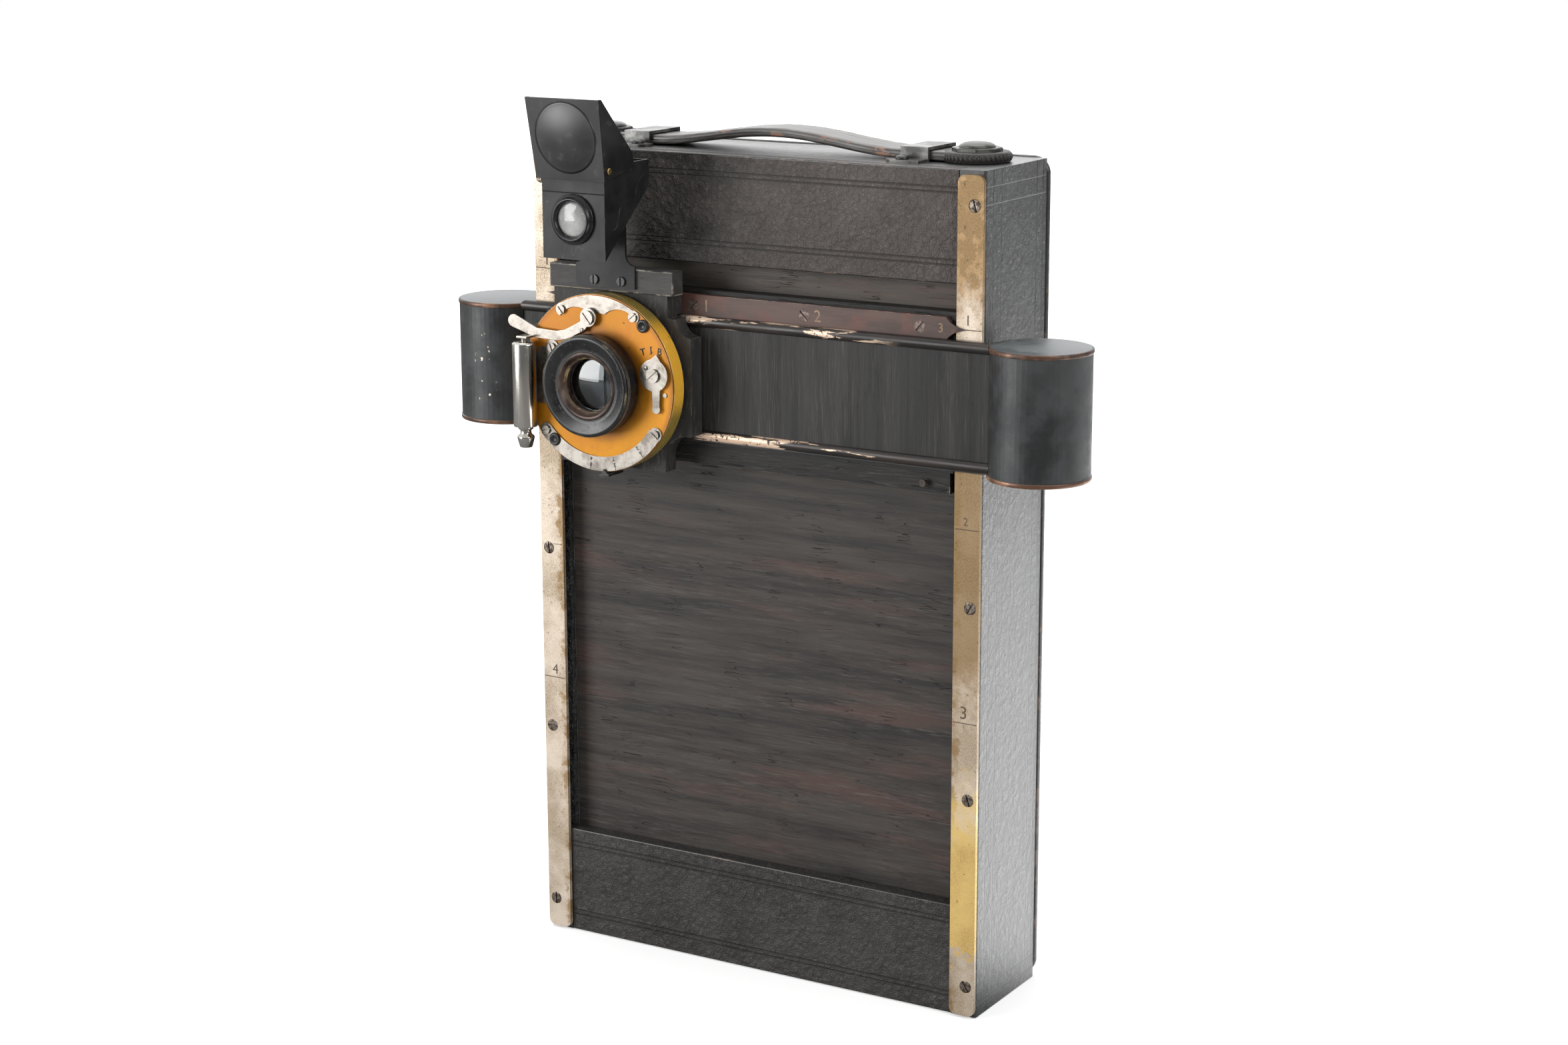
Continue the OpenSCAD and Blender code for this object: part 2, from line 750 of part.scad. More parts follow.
// Board with concave quarter rounds where the wide waist meets the narrow head and tongue
module board_outline() {
    difference() {
        union() {
            translate([-shoulder, waist_low]) square([2*shoulder, board_top - waist_low]);
            translate([-board_half, waist_low]) square([2*board_half, waist_top + notch_r - waist_low]);
            translate([-tongue_half - low_notch_r, board_low])
                square([2*(tongue_half + low_notch_r), waist_low - board_low + 0.01]);
        }
        for (s = [-1, 1]) {
            translate([s*board_half, waist_top + notch_r]) circle(notch_r);
            translate([s*(tongue_half + low_notch_r - 0.1), waist_low - low_notch_r - 0.1])
                circle(low_notch_r);
            mirror([s < 0 ? 1 : 0, 0]) translate([tongue_half, board_low - 1])
                square([low_notch_r + 1, waist_low - low_notch_r - board_low + 0.9]);
        }
    }
}

module lens_board() {
    color("#2a2a29") at_lens() difference() {
        union() {
            upright(board_back, board_back - board_front) board_outline();
            block(-shoulder, shoulder, board_back - 0.01, scale_front - slide_c,
                  band_high + slide_c, board_top);
            block(-tongue_u, tongue_u, board_back - 0.01, tongue_back,
                  window_z0 - lens_z, window_z1 - lens_z);
            block(-tongue_u, tongue_u, cross_front + 0.1, tongue_back, cross_z0 - lens_z, cross_z1 - lens_z);
        }
        rod_y(light_r, board_front - 1, 0);
    }
}

module top_cleat() {
    color("#2a2a29") at_lens()
        block(cleat_left, cleat_right, cleat_y0, cleat_y1, board_top, cleat_top);
}

// Shutter

module shutter_flange() {
    color("#1d1d1d") at_lens() difference() {
        rod_y(shutter_r - 0.6, flange_front, flange_back);
        rod_y(light_r, flange_front - 1, flange_back + 1);
    }
}

module shutter_case() {
    color("#c08a30") at_lens() {
        difference() {
            rod_y(shutter_r, shutter_front + face_t, shutter_back);
            rod_y(shutter_r - shutter_wall, shutter_front, shutter_back - 1);
            rod_y(aperture_r + 1.5, shutter_front, shutter_back + 1);
        }
        translate([0, 0, blade_pivot]) rod_y(1.2, shutter_front + face_t + 0.2, shutter_back - 0.99);
    }
}

stop_screws = [inside_rim(2.1, 48), inside_rim(3, 229.9)];
crescent_screws = [inside_rim(2.5, 120), inside_rim(2.3, 57.6)];
scale_plate_screws = [inside_rim(2.7, 220.3), inside_rim(2.4, 326.7)];
bracket_screw = inside_rim(9.5, 149.2);
post_r = 1.5;
face_rivet = inside_rim(3.1, -3.5);

module shutter_face() {
    color("#d0892d") at_lens() difference() {
        rod_y(shutter_r, shutter_front, shutter_front + face_t);
        rod_y(ring_r - 3, shutter_front - 1, shutter_front + face_t + 1);
        for (p = concat(crescent_screws, scale_plate_screws, [bracket_screw]))
            translate([p[0], 0, p[1]]) rod_y(0.7 + fix_c, shutter_front - 1, shutter_front + face_t + 1);
        for (p = stop_screws)
            translate([p[0], 0, p[1]]) rod_y(1 + fix_c, shutter_front - 1, shutter_front + face_t + 1);
        for (p = [lever_pivot, selector_at])
            translate([p[0], 0, p[1]]) rod_y(post_r + fix_c, shutter_front - 1, shutter_front + face_t + 1);
    }
}

// Nickel plate along the upper rim, with two scallops that meet in a cusp
module top_crescent() {
    color("#c9c4bb") at_lens() upright(shutter_front, crescent_t) difference() {
        union() {
            sector(shutter_r - 6.5, shutter_r - 0.4, 59, 119);
            for (p = crescent_screws) translate(p) circle(2.4);
        }
        translate([-8, shutter_r - 13.8]) circle(8.8);
        translate([9.6, shutter_r - 13.6]) circle(9);
        for (p = crescent_screws) translate(p) circle(0.75);
    }
}

module aperture_scale() {
    color("#c9c4bb") at_lens() upright(shutter_front, crescent_t) difference() {
        union() {
            sector(shutter_r - 5.3, shutter_r - 0.2, 220.4, 326.7);
            for (p = scale_plate_screws) translate(p) circle(2.55);
        }
        for (p = scale_plate_screws) translate(p) circle(0.75);
        for (p = stop_screws) translate(p) circle(2.4);
    }
}

module face_screws() {
    color("#c4bfb6") at_lens() {
        for (p = concat(crescent_screws, scale_plate_screws))
            translate([p[0], 0, p[1]])
                slotted_screw(shutter_front - crescent_t - 0.7, 1.6, 0.7, 0.7, crescent_t + 1.4, 9*p[0]);
        translate([bracket_screw[0], 0, bracket_screw[1]])
            slotted_screw(shutter_front - bracket_t - 0.7, 1.6, 0.7, 0.7, bracket_t + 1.4, 70);
        translate([lever_pivot[0], 0, lever_pivot[1]])
            slotted_screw(lever_y - lever_t - 0.9, 2.5, 0.85, post_r, lever_t + 2.4, 50);
        translate([selector_at[0], 0, selector_at[1]])
            slotted_screw(selector_y - lever_t - 0.9, 2.4, 0.85, post_r, lever_t + 2.2, -40);
        translate([face_rivet[0], 0, face_rivet[1]]) rod_y(0.8, shutter_front - 0.4, shutter_front);
    }
}

module black_screws() {
    color("#1c1c1d") at_lens() {
        for (p = stop_screws) translate([p[0], 0, p[1]]) {
            rod_y(1, shutter_front, shutter_front + 1.8);
            rod_y(2.3, shutter_front - 1.3, shutter_front);
        }
        for (p = finder_screws) translate([p[0], 0, p[1]])
            slotted_screw(cleat_y0 - bracket_sheet - 0.7, 1.7, 0.7, 0.8, bracket_sheet, 90);
    }
}

// Air release

bracket_t = 0.5;

module air_cylinder() {
    color("#c6c2ba") at_lens() translate([cylinder_at[0], cylinder_y, cylinder_at[1]]) difference() {
        cylinder(r = cylinder_r, h = cylinder_l);
        translate([0, 0, 1]) cylinder(r = cylinder_bore, h = cylinder_l - 2);
        translate([0, 0, cylinder_l - 2]) cylinder(r = 1 + run_c, h = 3);
        translate([0, 0, -1]) cylinder(r = 1.6 + fix_c, h = 3);
    }
}

// Barbed nozzle for the rubber hose
module hose_nozzle() {
    color("#d4d1ca") at_lens() translate([cylinder_at[0], cylinder_y, cylinder_at[1]])
        rotate_extrude() polygon([
            [0.9, 1], [1.6, 1], [1.6, 0], [2.7, 0], [2.7, -0.9], [2, -1.3], [2, -2.6],
            [3.1, -3.5], [3.1, -4.2], [2.2, -7.4], [0.9, -7.4]]);
}

module cylinder_bracket() {
    arm_u = cylinder_at[0];
    color("#b9b4ab") at_lens() upright(shutter_front, bracket_t) difference() {
        union() {
            translate([arm_u - 1, -9.2]) square([7.4, 18.4]);
            translate([arm_u + 3.2, 5.4]) square([3.2, 5.8]);
            translate(bracket_screw) circle(2.7);
            translate([arm_u + 4, 6]) square([bracket_screw[0] - arm_u - 4, 4.4]);
        }
        translate(bracket_screw) circle(0.75);
        translate([arm_u + 8.6, 0]) circle(4);
    }
}

module piston() {
    top = cylinder_l + 1.1;
    color("#a8a59f") at_lens() translate([cylinder_at[0], cylinder_y, cylinder_at[1]]) {
        translate([0, 0, 14]) cylinder(r = cylinder_bore - run_c, h = 8);
        translate([0, 0, 21.9]) cylinder(r = 1, h = top - 21.9);
    }
}

// Release lever: a swept arm from the pivot to a finger tab that stands over the piston rod
lever_line = [[0, 0], [-2.4, -3.1], [-5.6, -4.8], [-9.2, -6.6], [-13.4, -7.5], [-17.6, -7.3], [-22.4, -7.1]];
tab_low = cylinder_at[1] + cylinder_l + 2.1;

module release_lever() {
    color("#cbc6bd") at_lens() difference() {
        union() {
            upright(lever_y, lever_t) {
                translate(lever_pivot) circle(3.3);
                for (i = [0:len(lever_line) - 2]) hull() {
                    translate(lever_pivot + lever_line[i]) circle(1.7, $fn = 24);
                    translate(lever_pivot + lever_line[i + 1]) circle(1.7, $fn = 24);
                }
                hull() {
                    translate(lever_pivot + lever_line[6]) circle(1.7, $fn = 24);
                    translate(lever_pivot + [-32, -3.6]) circle(2.2, $fn = 24);
                }
            }
            block(cylinder_at[0] - 2.2, cylinder_at[0] + 2.2, cylinder_y - 1.6, lever_y,
                  tab_low - 0.8, tab_low);
        }
        translate([lever_pivot[0], 0, lever_pivot[1]]) rod_y(post_r + run_c, lever_y - 3, lever_y + 1);
    }
}

// Time, instantaneous and bulb selector: a pointed disc with a tail
selector_y = shutter_front - 0.6;

module selector() {
    color("#c9c4bb") at_lens() translate([selector_at[0], 0, selector_at[1]]) difference() {
        upright(selector_y, lever_t) {
            circle(5.7);
            polygon([[-3.6, 3.6], [4.4, 2.6], [1.2, 7.4]]);
            polygon([[-0.8, -4], [-0.4, -11.8], [2.2, -11.8], [2.6, -4]]);
            translate([0.9, -11.8]) circle(1.6);
        }
        rod_y(post_r + run_c, selector_y - 3, selector_y + 1);
    }
}

// Two shutter blades on one pivot, each half of the opening with a small lap
module blade(s, y_back) {
    color("#2d2d2f") at_lens() translate([0, 0, blade_pivot]) mirror([s < 0 ? 1 : 0, 0, 0]) difference() {
        upright(y_back, 0.4) {
            circle(3);
            sector(0.01, blade_r, -92, -55);
        }
        rod_y(1.2 + run_c, y_back - 2, y_back + 1);
    }
}

blade_y = shutter_front + face_t + 2.2;
blade_r = shutter_r - 3.4;

module left_blade() { blade(-1, blade_y); }

module right_blade() { blade(1, blade_y + 0.8); }

// Iris ring behind the case, with a pointer bent forward over the aperture scale
module aperture_pointer() {
    color("#26221f") at_lens() {
        difference() {
            rod_y(shutter_r - 0.2, iris_front, flange_front - ring_gap);
            rod_y(15, iris_front - 1, flange_back);
        }
        rotate([0, -5.4, 0]) {
            translate([0, 0, -shutter_r - 1.3])
                block(-2, 2, shutter_front - crescent_t - 0.9, flange_front - ring_gap, -0.4, 0.6);
            block(-2, 2, iris_front, flange_front - ring_gap, -shutter_r - 1.3, 1.4 - shutter_r);
            upright(shutter_front - crescent_t - 0.3, 0.6)
                polygon([[-1.8, -shutter_r - 1.6], [1.8, -shutter_r - 1.6], [0, -shutter_r + 1.2]]);
        }
    }
}

// Lens

ring_grip_back = 23.7;
module lens_ring() {
    color("#26282b") at_lens() rotate([90, 0, 0]) rotate_extrude() polygon([
        [bezel_r + fix_c, 20.2], [ring_r - 3.1, 20.2], [ring_r - 3.1, 20.8], [ring_r - 1, 20.8],
        [ring_r - 1, 21.4], [ring_r - 0.4, 21.4], [ring_r - 0.4, ring_grip_back], [ring_r, ring_grip_back],
        [ring_r, -ring_front - 0.8], [ring_r - 0.8, -ring_front],
        [ring_r - 1.6, -ring_front], [bezel_r + 1.2, -ring_front - 1.6], [bezel_r + fix_c, -ring_front - 1.6]]);
}

module lens_bezel() {
    color("#5b4238") at_lens() rotate([90, 0, 0]) rotate_extrude() polygon([
        [glass_r, 20.2], [bezel_r, 20.2], [bezel_r, -ring_front - 1.4], [bezel_r - 0.8, -ring_front - 1.2],
        [glass_r + 0.6, -ring_front - 3.2], [glass_r, -ring_front - 3.6],
        [glass_r, 24.6], [glass_r + 0.8, 24.6], [glass_r + 0.8, 22.2], [glass_r, 22.2]]);
}

// Front and rear glasses, domed on the outside
module lens_glasses() {
    color([0.55, 0.6, 0.65, 0.5]) at_lens() {
        translate([0, -22.4, 0]) rotate([90, 0, 0]) dome(glass_r + 0.7, 0.7, 1.4);
        translate([0, -11.4, 0]) rotate([-90, 0, 0]) dome(light_r - fix_c, 0.8, 1.6);
    }
}

// Finder

module finder_section(inset) {
    polygon([
        [finder_front + inset, finder_z0 + 1.9*inset], [finder_back - inset, finder_slant + 0.4*inset],
        [finder_back - inset, finder_z1 + (inset > 0 ? 2 : 0)],
        [finder_front + 0.6 + inset, finder_z1 + (inset > 0 ? 2 : 0)],
        [finder_front + inset, finder_z1 - 0.6]]);
}

module finder_body() {
    color("#1d1e20") on_front() difference() {
        along_x(lens_x - finder_w/2, lens_x + finder_w/2) finder_section(0);
        along_x(lens_x - finder_w/2 + finder_t, lens_x + finder_w/2 - finder_t) finder_section(finder_t);
        translate([lens_x, 0, finder_z]) rod_y(finder_lens_r + 0.6, finder_front - 1, finder_front + 3);
        for (s = [-1, 1]) translate([lens_x + s*finder_w/2, hood_hinge[0], hood_hinge[1]])
            rod_x(0.7 + fix_c, -2, 2);
    }
}

module finder_bezel() {
    color("#222325") on_front() translate([lens_x, 0, finder_z]) rotate([90, 0, 0]) rotate_extrude() polygon([
        [finder_lens_r, -finder_front - 1.6], [finder_lens_r + 0.55, -finder_front - 1.6],
        [finder_lens_r + 0.55, -finder_front], [finder_lens_r + 2.5, -finder_front],
        [finder_lens_r + 2.5, -finder_front + 1.2], [finder_lens_r + 1.5, -finder_front + 2.4],
        [finder_lens_r + 0.8, -finder_front + 2.4], [finder_lens_r, -finder_front + 1.2]]);
}

module finder_glasses() {
    glass_w = finder_w - 2*finder_t - 0.2;
    color([0.8, 0.82, 0.82, 0.6]) on_front() {
        translate([lens_x, finder_front + 1.5, finder_z]) rotate([90, 0, 0])
            dome(finder_lens_r - fix_c, 1.5, 0.9);
        block(lens_x - glass_w/2, lens_x + glass_w/2, finder_front + 2, finder_back - finder_t - 0.1,
              finder_z1 - 2.2, finder_z1 - 1);
    }
}

module finder_mirror() {
    mirror_w = finder_w - 2*finder_t - 0.4;
    rise = finder_slant - finder_z0;
    run = finder_back - finder_front;
    color("#b8bcc0") on_front() translate([lens_x, finder_front + 3.2, finder_z0 + 4.2])
        rotate([atan2(rise, run), 0, 0]) block(-mirror_w/2, mirror_w/2, 0, 26, 0, 1);
}

bracket_sheet = 1;
bracket_half = 12.3;
bracket_z0 = 33.1;
finder_screws = [[-4.5, 35.6], [6.8, 35.6]];

// Sheet bracket from the cleat up to the slanted underside of the finder
module finder_bracket() {
    neck = 8.5;
    slope = (finder_slant - finder_z0)/(finder_back - finder_front);
    neck_top = finder_z0 - lens_z + slope*(cleat_y0 - bracket_sheet - finder_front) - 0.1;
    color("#1f2022") at_lens() upright(cleat_y0, bracket_sheet) difference() {
        union() {
            translate([-bracket_half, bracket_z0]) square([2*bracket_half, 8]);
            translate([-neck, bracket_z0]) square([2*neck, neck_top - bracket_z0]);
            translate([-bracket_half, bracket_z0 + 7]) square([2*bracket_half, 4.8]);
        }
        for (s = [-1, 1]) translate([s*(bracket_half + 0.01), bracket_z0 + 11.8]) circle(3.8);
        for (p = finder_screws) translate(p) circle(0.85);
    }
}

module hood_rivets() {
    color("#c9b98a") on_front() for (s = [-1, 1])
        translate([lens_x, hood_hinge[0], hood_hinge[1]]) mirror([s < 0 ? 1 : 0, 0, 0]) {
            rod_x(0.7, finder_w/2 - 1.4, hood_half + 0.5);
            rod_x(1.1, hood_half + 0.45, hood_half + 0.9);
        }
}

// Folding hood: a leaning front sheet with a shallow round dome, and two side wings
module finder_hood() {
    lean = atan2(hood_y0 - hood_y1, hood_h);
    length = hood_h/cos(lean);
    color("#191a1c") on_front() translate([lens_x, 0, 0]) {
        translate([0, hood_y0, hood_z0]) rotate([lean, 0, 0]) {
            upright(0, hood_t) polygon([[-hood_half, 0], [hood_half, 0],
                [hood_half + hood_flare, length], [-hood_half - hood_flare, length]]);
            translate([0, 0.1 - hood_t, length/2 + 0.6]) rotate([90, 0, 0]) dome(12, 0.1, 0.6);
        }
        for (s = [0, 1]) mirror([s, 0, 0]) difference() {
            translate([hood_half, 0, hood_z0]) rotate([0, atan2(hood_flare, hood_h), 0])
                translate([0, 0, -hood_z0]) along_x(-hood_t, 0) polygon([
                    [hood_y0 - 0.3, hood_z0], hood_hinge + [1.4, -2.6], hood_hinge + [14.8, -0.8],
                    hood_hinge + [16, 0.3], hood_hinge + [14.5, 5.4],
                    [hood_y1 + 1.2, hood_z1], [hood_y1 - 0.3, hood_z1]]);
            translate([0, hood_hinge[0], hood_hinge[1]]) rod_x(0.7 + run_c, 5, 20);
        }
    }
}

left_side();
right_side();
top_board();
bottom_board();
upper_front_panel();
lower_front_panel();
index_rails();
rail_screws();
tripod_bush();
plate_frame();
glass_plate();
handle_strap();
strap_ends();
strap_keepers();
keeper_screws();
upper_blind();
lower_blind();
back_panel();
upper_roller();
lower_roller();
carriage_frame();
band_plate();
band_mouldings();
scale_bar();
band_screws();
lower_cleat();
drums();
drum_caps();
left_blind();
right_blind();
left_spool();
right_spool();
lens_board();
top_cleat();
shutter_flange();
shutter_case();
shutter_face();
top_crescent();
aperture_scale();
face_screws();
black_screws();
air_cylinder();
cylinder_bracket();
hose_nozzle();
lens_ring();
lens_bezel();
lens_glasses();
finder_body();
finder_bezel();
finder_glasses();
finder_mirror();
finder_bracket();
hood_rivets();
release_lever();
piston();
left_blade();
right_blade();
selector();
aperture_pointer();
finder_hood();
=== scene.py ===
import math
import bpy
import bmesh
from mathutils import Matrix, Vector


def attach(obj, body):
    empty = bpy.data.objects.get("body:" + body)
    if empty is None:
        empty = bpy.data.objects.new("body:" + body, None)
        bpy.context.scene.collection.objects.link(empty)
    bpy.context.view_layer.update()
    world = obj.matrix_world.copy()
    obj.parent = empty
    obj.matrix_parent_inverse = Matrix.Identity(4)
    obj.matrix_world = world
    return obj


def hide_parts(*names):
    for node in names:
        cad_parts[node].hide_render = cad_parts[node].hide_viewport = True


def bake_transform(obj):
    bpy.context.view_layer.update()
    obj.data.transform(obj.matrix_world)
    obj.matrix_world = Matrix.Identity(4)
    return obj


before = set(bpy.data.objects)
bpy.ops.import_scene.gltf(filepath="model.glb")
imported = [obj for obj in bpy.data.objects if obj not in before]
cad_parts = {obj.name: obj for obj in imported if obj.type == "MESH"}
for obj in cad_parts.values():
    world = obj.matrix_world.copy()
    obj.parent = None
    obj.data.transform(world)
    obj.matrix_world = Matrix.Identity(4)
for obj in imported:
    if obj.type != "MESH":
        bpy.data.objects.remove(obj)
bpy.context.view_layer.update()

# The camera stands to the right of the lens side and a little above it, as the photographer's did, and
# looks with a normal lens at the whole apparatus.
eye = Vector((0.5223, -0.8737, 0.4008))
ahead = Vector((-0.5006, 0.8350, -0.2284))
rightward = Vector((0.8580, 0.5137, -0.0026))
upward = rightward.cross(ahead)
view = bpy.data.cameras.new("Camera")
view.sensor_fit, view.sensor_width, view.lens = "HORIZONTAL", 36, 67.06
camera = bpy.data.objects.new("Camera", view)
bpy.context.scene.collection.objects.link(camera)
camera.matrix_world = Matrix((
    (rightward.x, upward.x, -ahead.x, eye.x),
    (rightward.y, upward.y, -ahead.y, eye.y),
    (rightward.z, upward.z, -ahead.z, eye.z),
    (0, 0, 0, 1)))
bpy.context.scene.camera = camera
bpy.context.scene.view_settings.view_transform = "Standard"

# The studio is a white table with no edge in sight. It keeps the soft shadow under the case. Polish sees it
# a little greyer than the camera does, with a bright card lying on it behind the case's right side.


def feed(socket, value):
    """Sets a socket, or links it where the value comes from another node."""
    if isinstance(value, Value):
        value.tree.links.new(value.socket, socket)
    elif value is not None:
        socket.default_value = value


def knot(tree, kind, *fed, **named):
    """What a new node puts out. Lower-case names are its settings, capitalised ones its inputs."""
    made = tree.nodes.new(kind if "Node" in kind else "ShaderNode" + kind)
    for key, value in named.items():
        if key[0].islower():
            setattr(made, key, value)
    for socket, value in zip(made.inputs, fed):
        feed(socket, value)
    for key, value in named.items():
        if key[0].isupper():
            feed(made.inputs[key.replace("_", " ")], value)
    return {key: Value(socket) for key, socket in [*enumerate(made.outputs), *made.outputs.items()]}


class Value:
    """A value that a node puts out. Sums made with it are new nodes of its tree."""

    def __init__(self, socket):
        self.socket, self.tree = socket, socket.id_data

    def to(self, kind, *fed, **named):
        return knot(self.tree, kind, self, *fed, **named)

    def step(self, operation, *fed):
        return self.to("Math", *fed, operation=operation)[0]

    def __add__(self, other):
        return self.step("ADD", other)

    def __mul__(self, other):
        return self.step("MULTIPLY", other)

    def __sub__(self, other):
        return self.step("SUBTRACT", other)

    def __truediv__(self, other):
        return self.step("DIVIDE", other)

    def __rsub__(self, other):
        return knot(self.tree, "Math", other, self, operation="SUBTRACT")[0]

    def __rtruediv__(self, other):
        return knot(self.tree, "Math", other, self, operation="DIVIDE")[0]

    def __abs__(self):
        return self.step("ABSOLUTE")

    __radd__, __rmul__ = __add__, __mul__


def ramp(value, low, high, to_low=0.0, to_high=1.0):
    """Turns a value between two limits into a soft step."""
    return value.to("MapRange", low, high, to_low, to_high, interpolation_type="SMOOTHSTEP")[0]


def run_along(value, *way):
    """How far a place lies along a direction."""
    return value.to("VectorMath", way, operation="DOT_PRODUCT")["Value"]


def length(value):
    return value.to("VectorMath", operation="LENGTH")["Value"]


seen = bpy.data.materials.new("White table")
seen.use_nodes = True
tree = seen.node_tree
paths = knot(tree, "LightPath")
place = knot(tree, "TexCoord")["Object"]
away = length(place)
level = paths["Is Camera Ray"] * ramp(away, 0.3, 1.5, 0.4, 1.1)
along = run_along(place, 0.434, 0.901, 0.0)
aside = run_along(place, 0.901, -0.434, 0.0)
card = ramp(along, 0.02, 0.1) * ramp(along, 0.82, 1.17, 1.0, 0.0)
card = card * ramp(abs(aside), 0.45, 0.75, 1.0, 0.0)
card_strength = 2.7
polish = paths["Is Transmission Ray"].step("MAXIMUM", paths["Is Glossy Ray"])
level = level + polish * (card * card_strength)
shader = tree.nodes["Principled BSDF"]
table_white, table_in_polish = 0.82, 0.26
feed(shader.inputs["Base Color"], polish.to("MapRange", To_Min=table_white, To_Max=table_in_polish)[0])
for label, value in [("Roughness", 1.0), ("Specular IOR Level", 0.0), ("Emission Color", (1, 1, 1, 1)),
                     ("Emission Strength", level)]:
    feed(shader.inputs[label], value)
sheet = bpy.data.meshes.new("floor")
table_reach, table_z = 4, -0.0003
sheet.from_pydata([(x * table_reach, y * table_reach, table_z)
                   for x, y in [(-1, -1), (1, -1), (1, 1), (-1, 1)]], [], [(0, 1, 2, 3)])
sheet.materials.append(seen)
floor = bpy.data.objects.new("floor", sheet)
bpy.context.scene.collection.objects.link(floor)

# The room is white to the camera. In polish it shows white above and to the left and dark elsewhere, which
# gives the bright metal its bands, and the left softbox stands in the front glass as a tall pale window.
world = bpy.data.worlds.new("Studio")
bpy.context.scene.world = world
world.use_nodes = True
tree = world.node_tree
paths = knot(tree, "LightPath")
toward = knot(tree, "TexCoord")["Generated"]
parts = toward.to("SeparateXYZ")
leftward = run_along(toward, -0.95, -0.25, 0.18)
backward = run_along(toward, -0.5, 0.85, 0.16)
room = ramp(parts["Z"], 0.2, 0.8, 0.2, 0.85) + ramp(leftward, 0.6, 0.92, 0.0, 0.6)
room = room + ramp(backward, 0.6, 0.88, 0.0, 1.5)
polish = paths["Is Transmission Ray"].step("MAXIMUM", paths["Is Glossy Ray"])
diffuse_room = 0.6
level = polish * room + (1.0 - polish) * diffuse_room
level = paths["Is Camera Ray"].step("MAXIMUM", level)
backdrop = tree.nodes["Background"].inputs
feed(backdrop["Color"], (1, 1, 1, 1))
feed(backdrop["Strength"], level)

for name, power, at, aim, wide, high in [
        ("Left softbox", 16.5, (-0.95, -1.15, 0.43), (-0.05, 0.0, 0.2), 0.75, 0.82),
        ("Right softbox", 8.0, (1.35, -0.35, 0.85), (0.05, 0.0, 0.15), 0.7, 0.7),
        ("Overhead softbox", 9.0, (-0.1, 0.25, 1.5), (0.0, 0.0, 0.2), 1.2, 0.9)]:
    lamp = bpy.data.lights.new(name, "AREA")
    lamp.shape, lamp.size, lamp.size_y, lamp.energy = "RECTANGLE", wide, high, power
    light = bpy.data.objects.new(name, lamp)
    bpy.context.scene.collection.objects.link(light)
    light.location = at
    light.rotation_euler = (Vector(aim) - Vector(at)).to_track_quat("-Z", "Y").to_euler()

# The case is a box of thin boards under black pebbled leather. The leather is glued down and turned over
# the edges, which have rubbed brown, and a hot tool has drawn two fine lines round each face.
mm = 0.001
front_y = -24.0


def tint(code):
    """A colour written as six hexadecimal digits, for a shader."""
    parts = [int(code[i:i + 2], 16) / 255 for i in (1, 3, 5)]
    return (*[c / 12.92 if c <= 0.04045 else ((c + 0.055) / 1.055) ** 2.4 for c in parts], 1.0)


def finish(name, **plain):
    """A new material, its sockets and the place on the piece. Plain numbers go straight to its sockets."""
    material = bpy.data.materials.new(name)
    material.use_nodes = True
    sockets = material.node_tree.nodes["Principled BSDF"].inputs
    for key, value in plain.items():
        feed(sockets[key.replace("_", " ")], value)
    return material, sockets, knot(material.node_tree, "TexCoord")["Object"]


def mixed(share, first, second):
    """A colour between two, by share. Each is six hexadecimal digits or a mix itself."""
    pair = [tint(colour) if isinstance(colour, str) else colour for colour in (first, second)]
    return share.to("Mix", *[None] * 5, *pair, data_type="RGBA")[2]


def paint(sockets, colour, rough=None, height=None, depth=0.0, metal=None):
    """Feeds a material, and bumps it by a height from 0 to 1 and a depth in metres."""
    for label, value in (("Base Color", colour), ("Roughness", rough), ("Metallic", metal)):
        feed(sockets[label], value)
    if height:
        feed(sockets["Normal"], knot(height.tree, "Bump", Height=height, Distance=depth)[0])


def noise(place, scale, detail=2.0, roughness=0.5):
    """Soft clouds, from 0 to 1."""
    return place.to("TexNoise", Scale=scale, Detail=detail, Roughness=roughness)["Fac"]


def pattern_group(name, given, gives):
    """An empty shader group with named inputs and outputs."""
    tree = bpy.data.node_groups.new(name, "ShaderNodeTree")
    for label, value in given:
        kind = "NodeSocketVector" if isinstance(value, tuple) else "NodeSocketFloat"
        tree.interface.new_socket(label, in_out="INPUT", socket_type=kind).default_value = value
    for label in gives:
        tree.interface.new_socket(label, in_out="OUTPUT", socket_type="NodeSocketFloat")
    return knot(tree, "NodeGroupInput"), tree.nodes.new("NodeGroupOutput").inputs


def pattern(place, name, **named):
    """Places a shader group in a material with this material's own values."""
    return place.to("Group", node_tree=bpy.data.node_groups[name], **named)


def rubbed_patches(place, scale, threshold, softness):
    """Where a finish has rubbed through."""
    return pattern(place, "Rubbed patches", Scale=scale, Threshold=threshold, Softness=softness)["Mask"]


given, gives = pattern_group("Leather grain", [("Vector", (0, 0, 0)), ("Cells", 330.0)],
                             ["Height", "Crease", "Crest"])
place, cells = given["Vector"], given["Cells"]
wander = place.to("TexNoise", Scale=cells * 0.8, Detail=3.0)["Color"]
wander = wander.to("VectorMath", (0.5, 0.5, 0.5), operation="SUBTRACT")[0]
wander = wander.to("VectorMath", operation="SCALE", Scale=0.8 / cells)[0]
pulled = place.to("VectorMath", wander, operation="ADD")[0]
hump = pulled.to("TexVoronoi", Scale=cells, feature="SMOOTH_F1", Smoothness=0.4)["Distance"]
hump = ramp(hump, 0.1, 0.75, 1.0, 0.0)
crack = pulled.to("TexVoronoi", Scale=cells, feature="DISTANCE_TO_EDGE")["Distance"]
crack = ramp(crack, 0.0, 0.07, 1.0, 0.0) * ramp(noise(place, cells * 0.5), 0.5, 0.62)
pore = ramp(pulled.to("TexVoronoi", Scale=cells * 4.2, feature="F1")["Distance"], 0.05, 0.8, 1.0, 0.0)
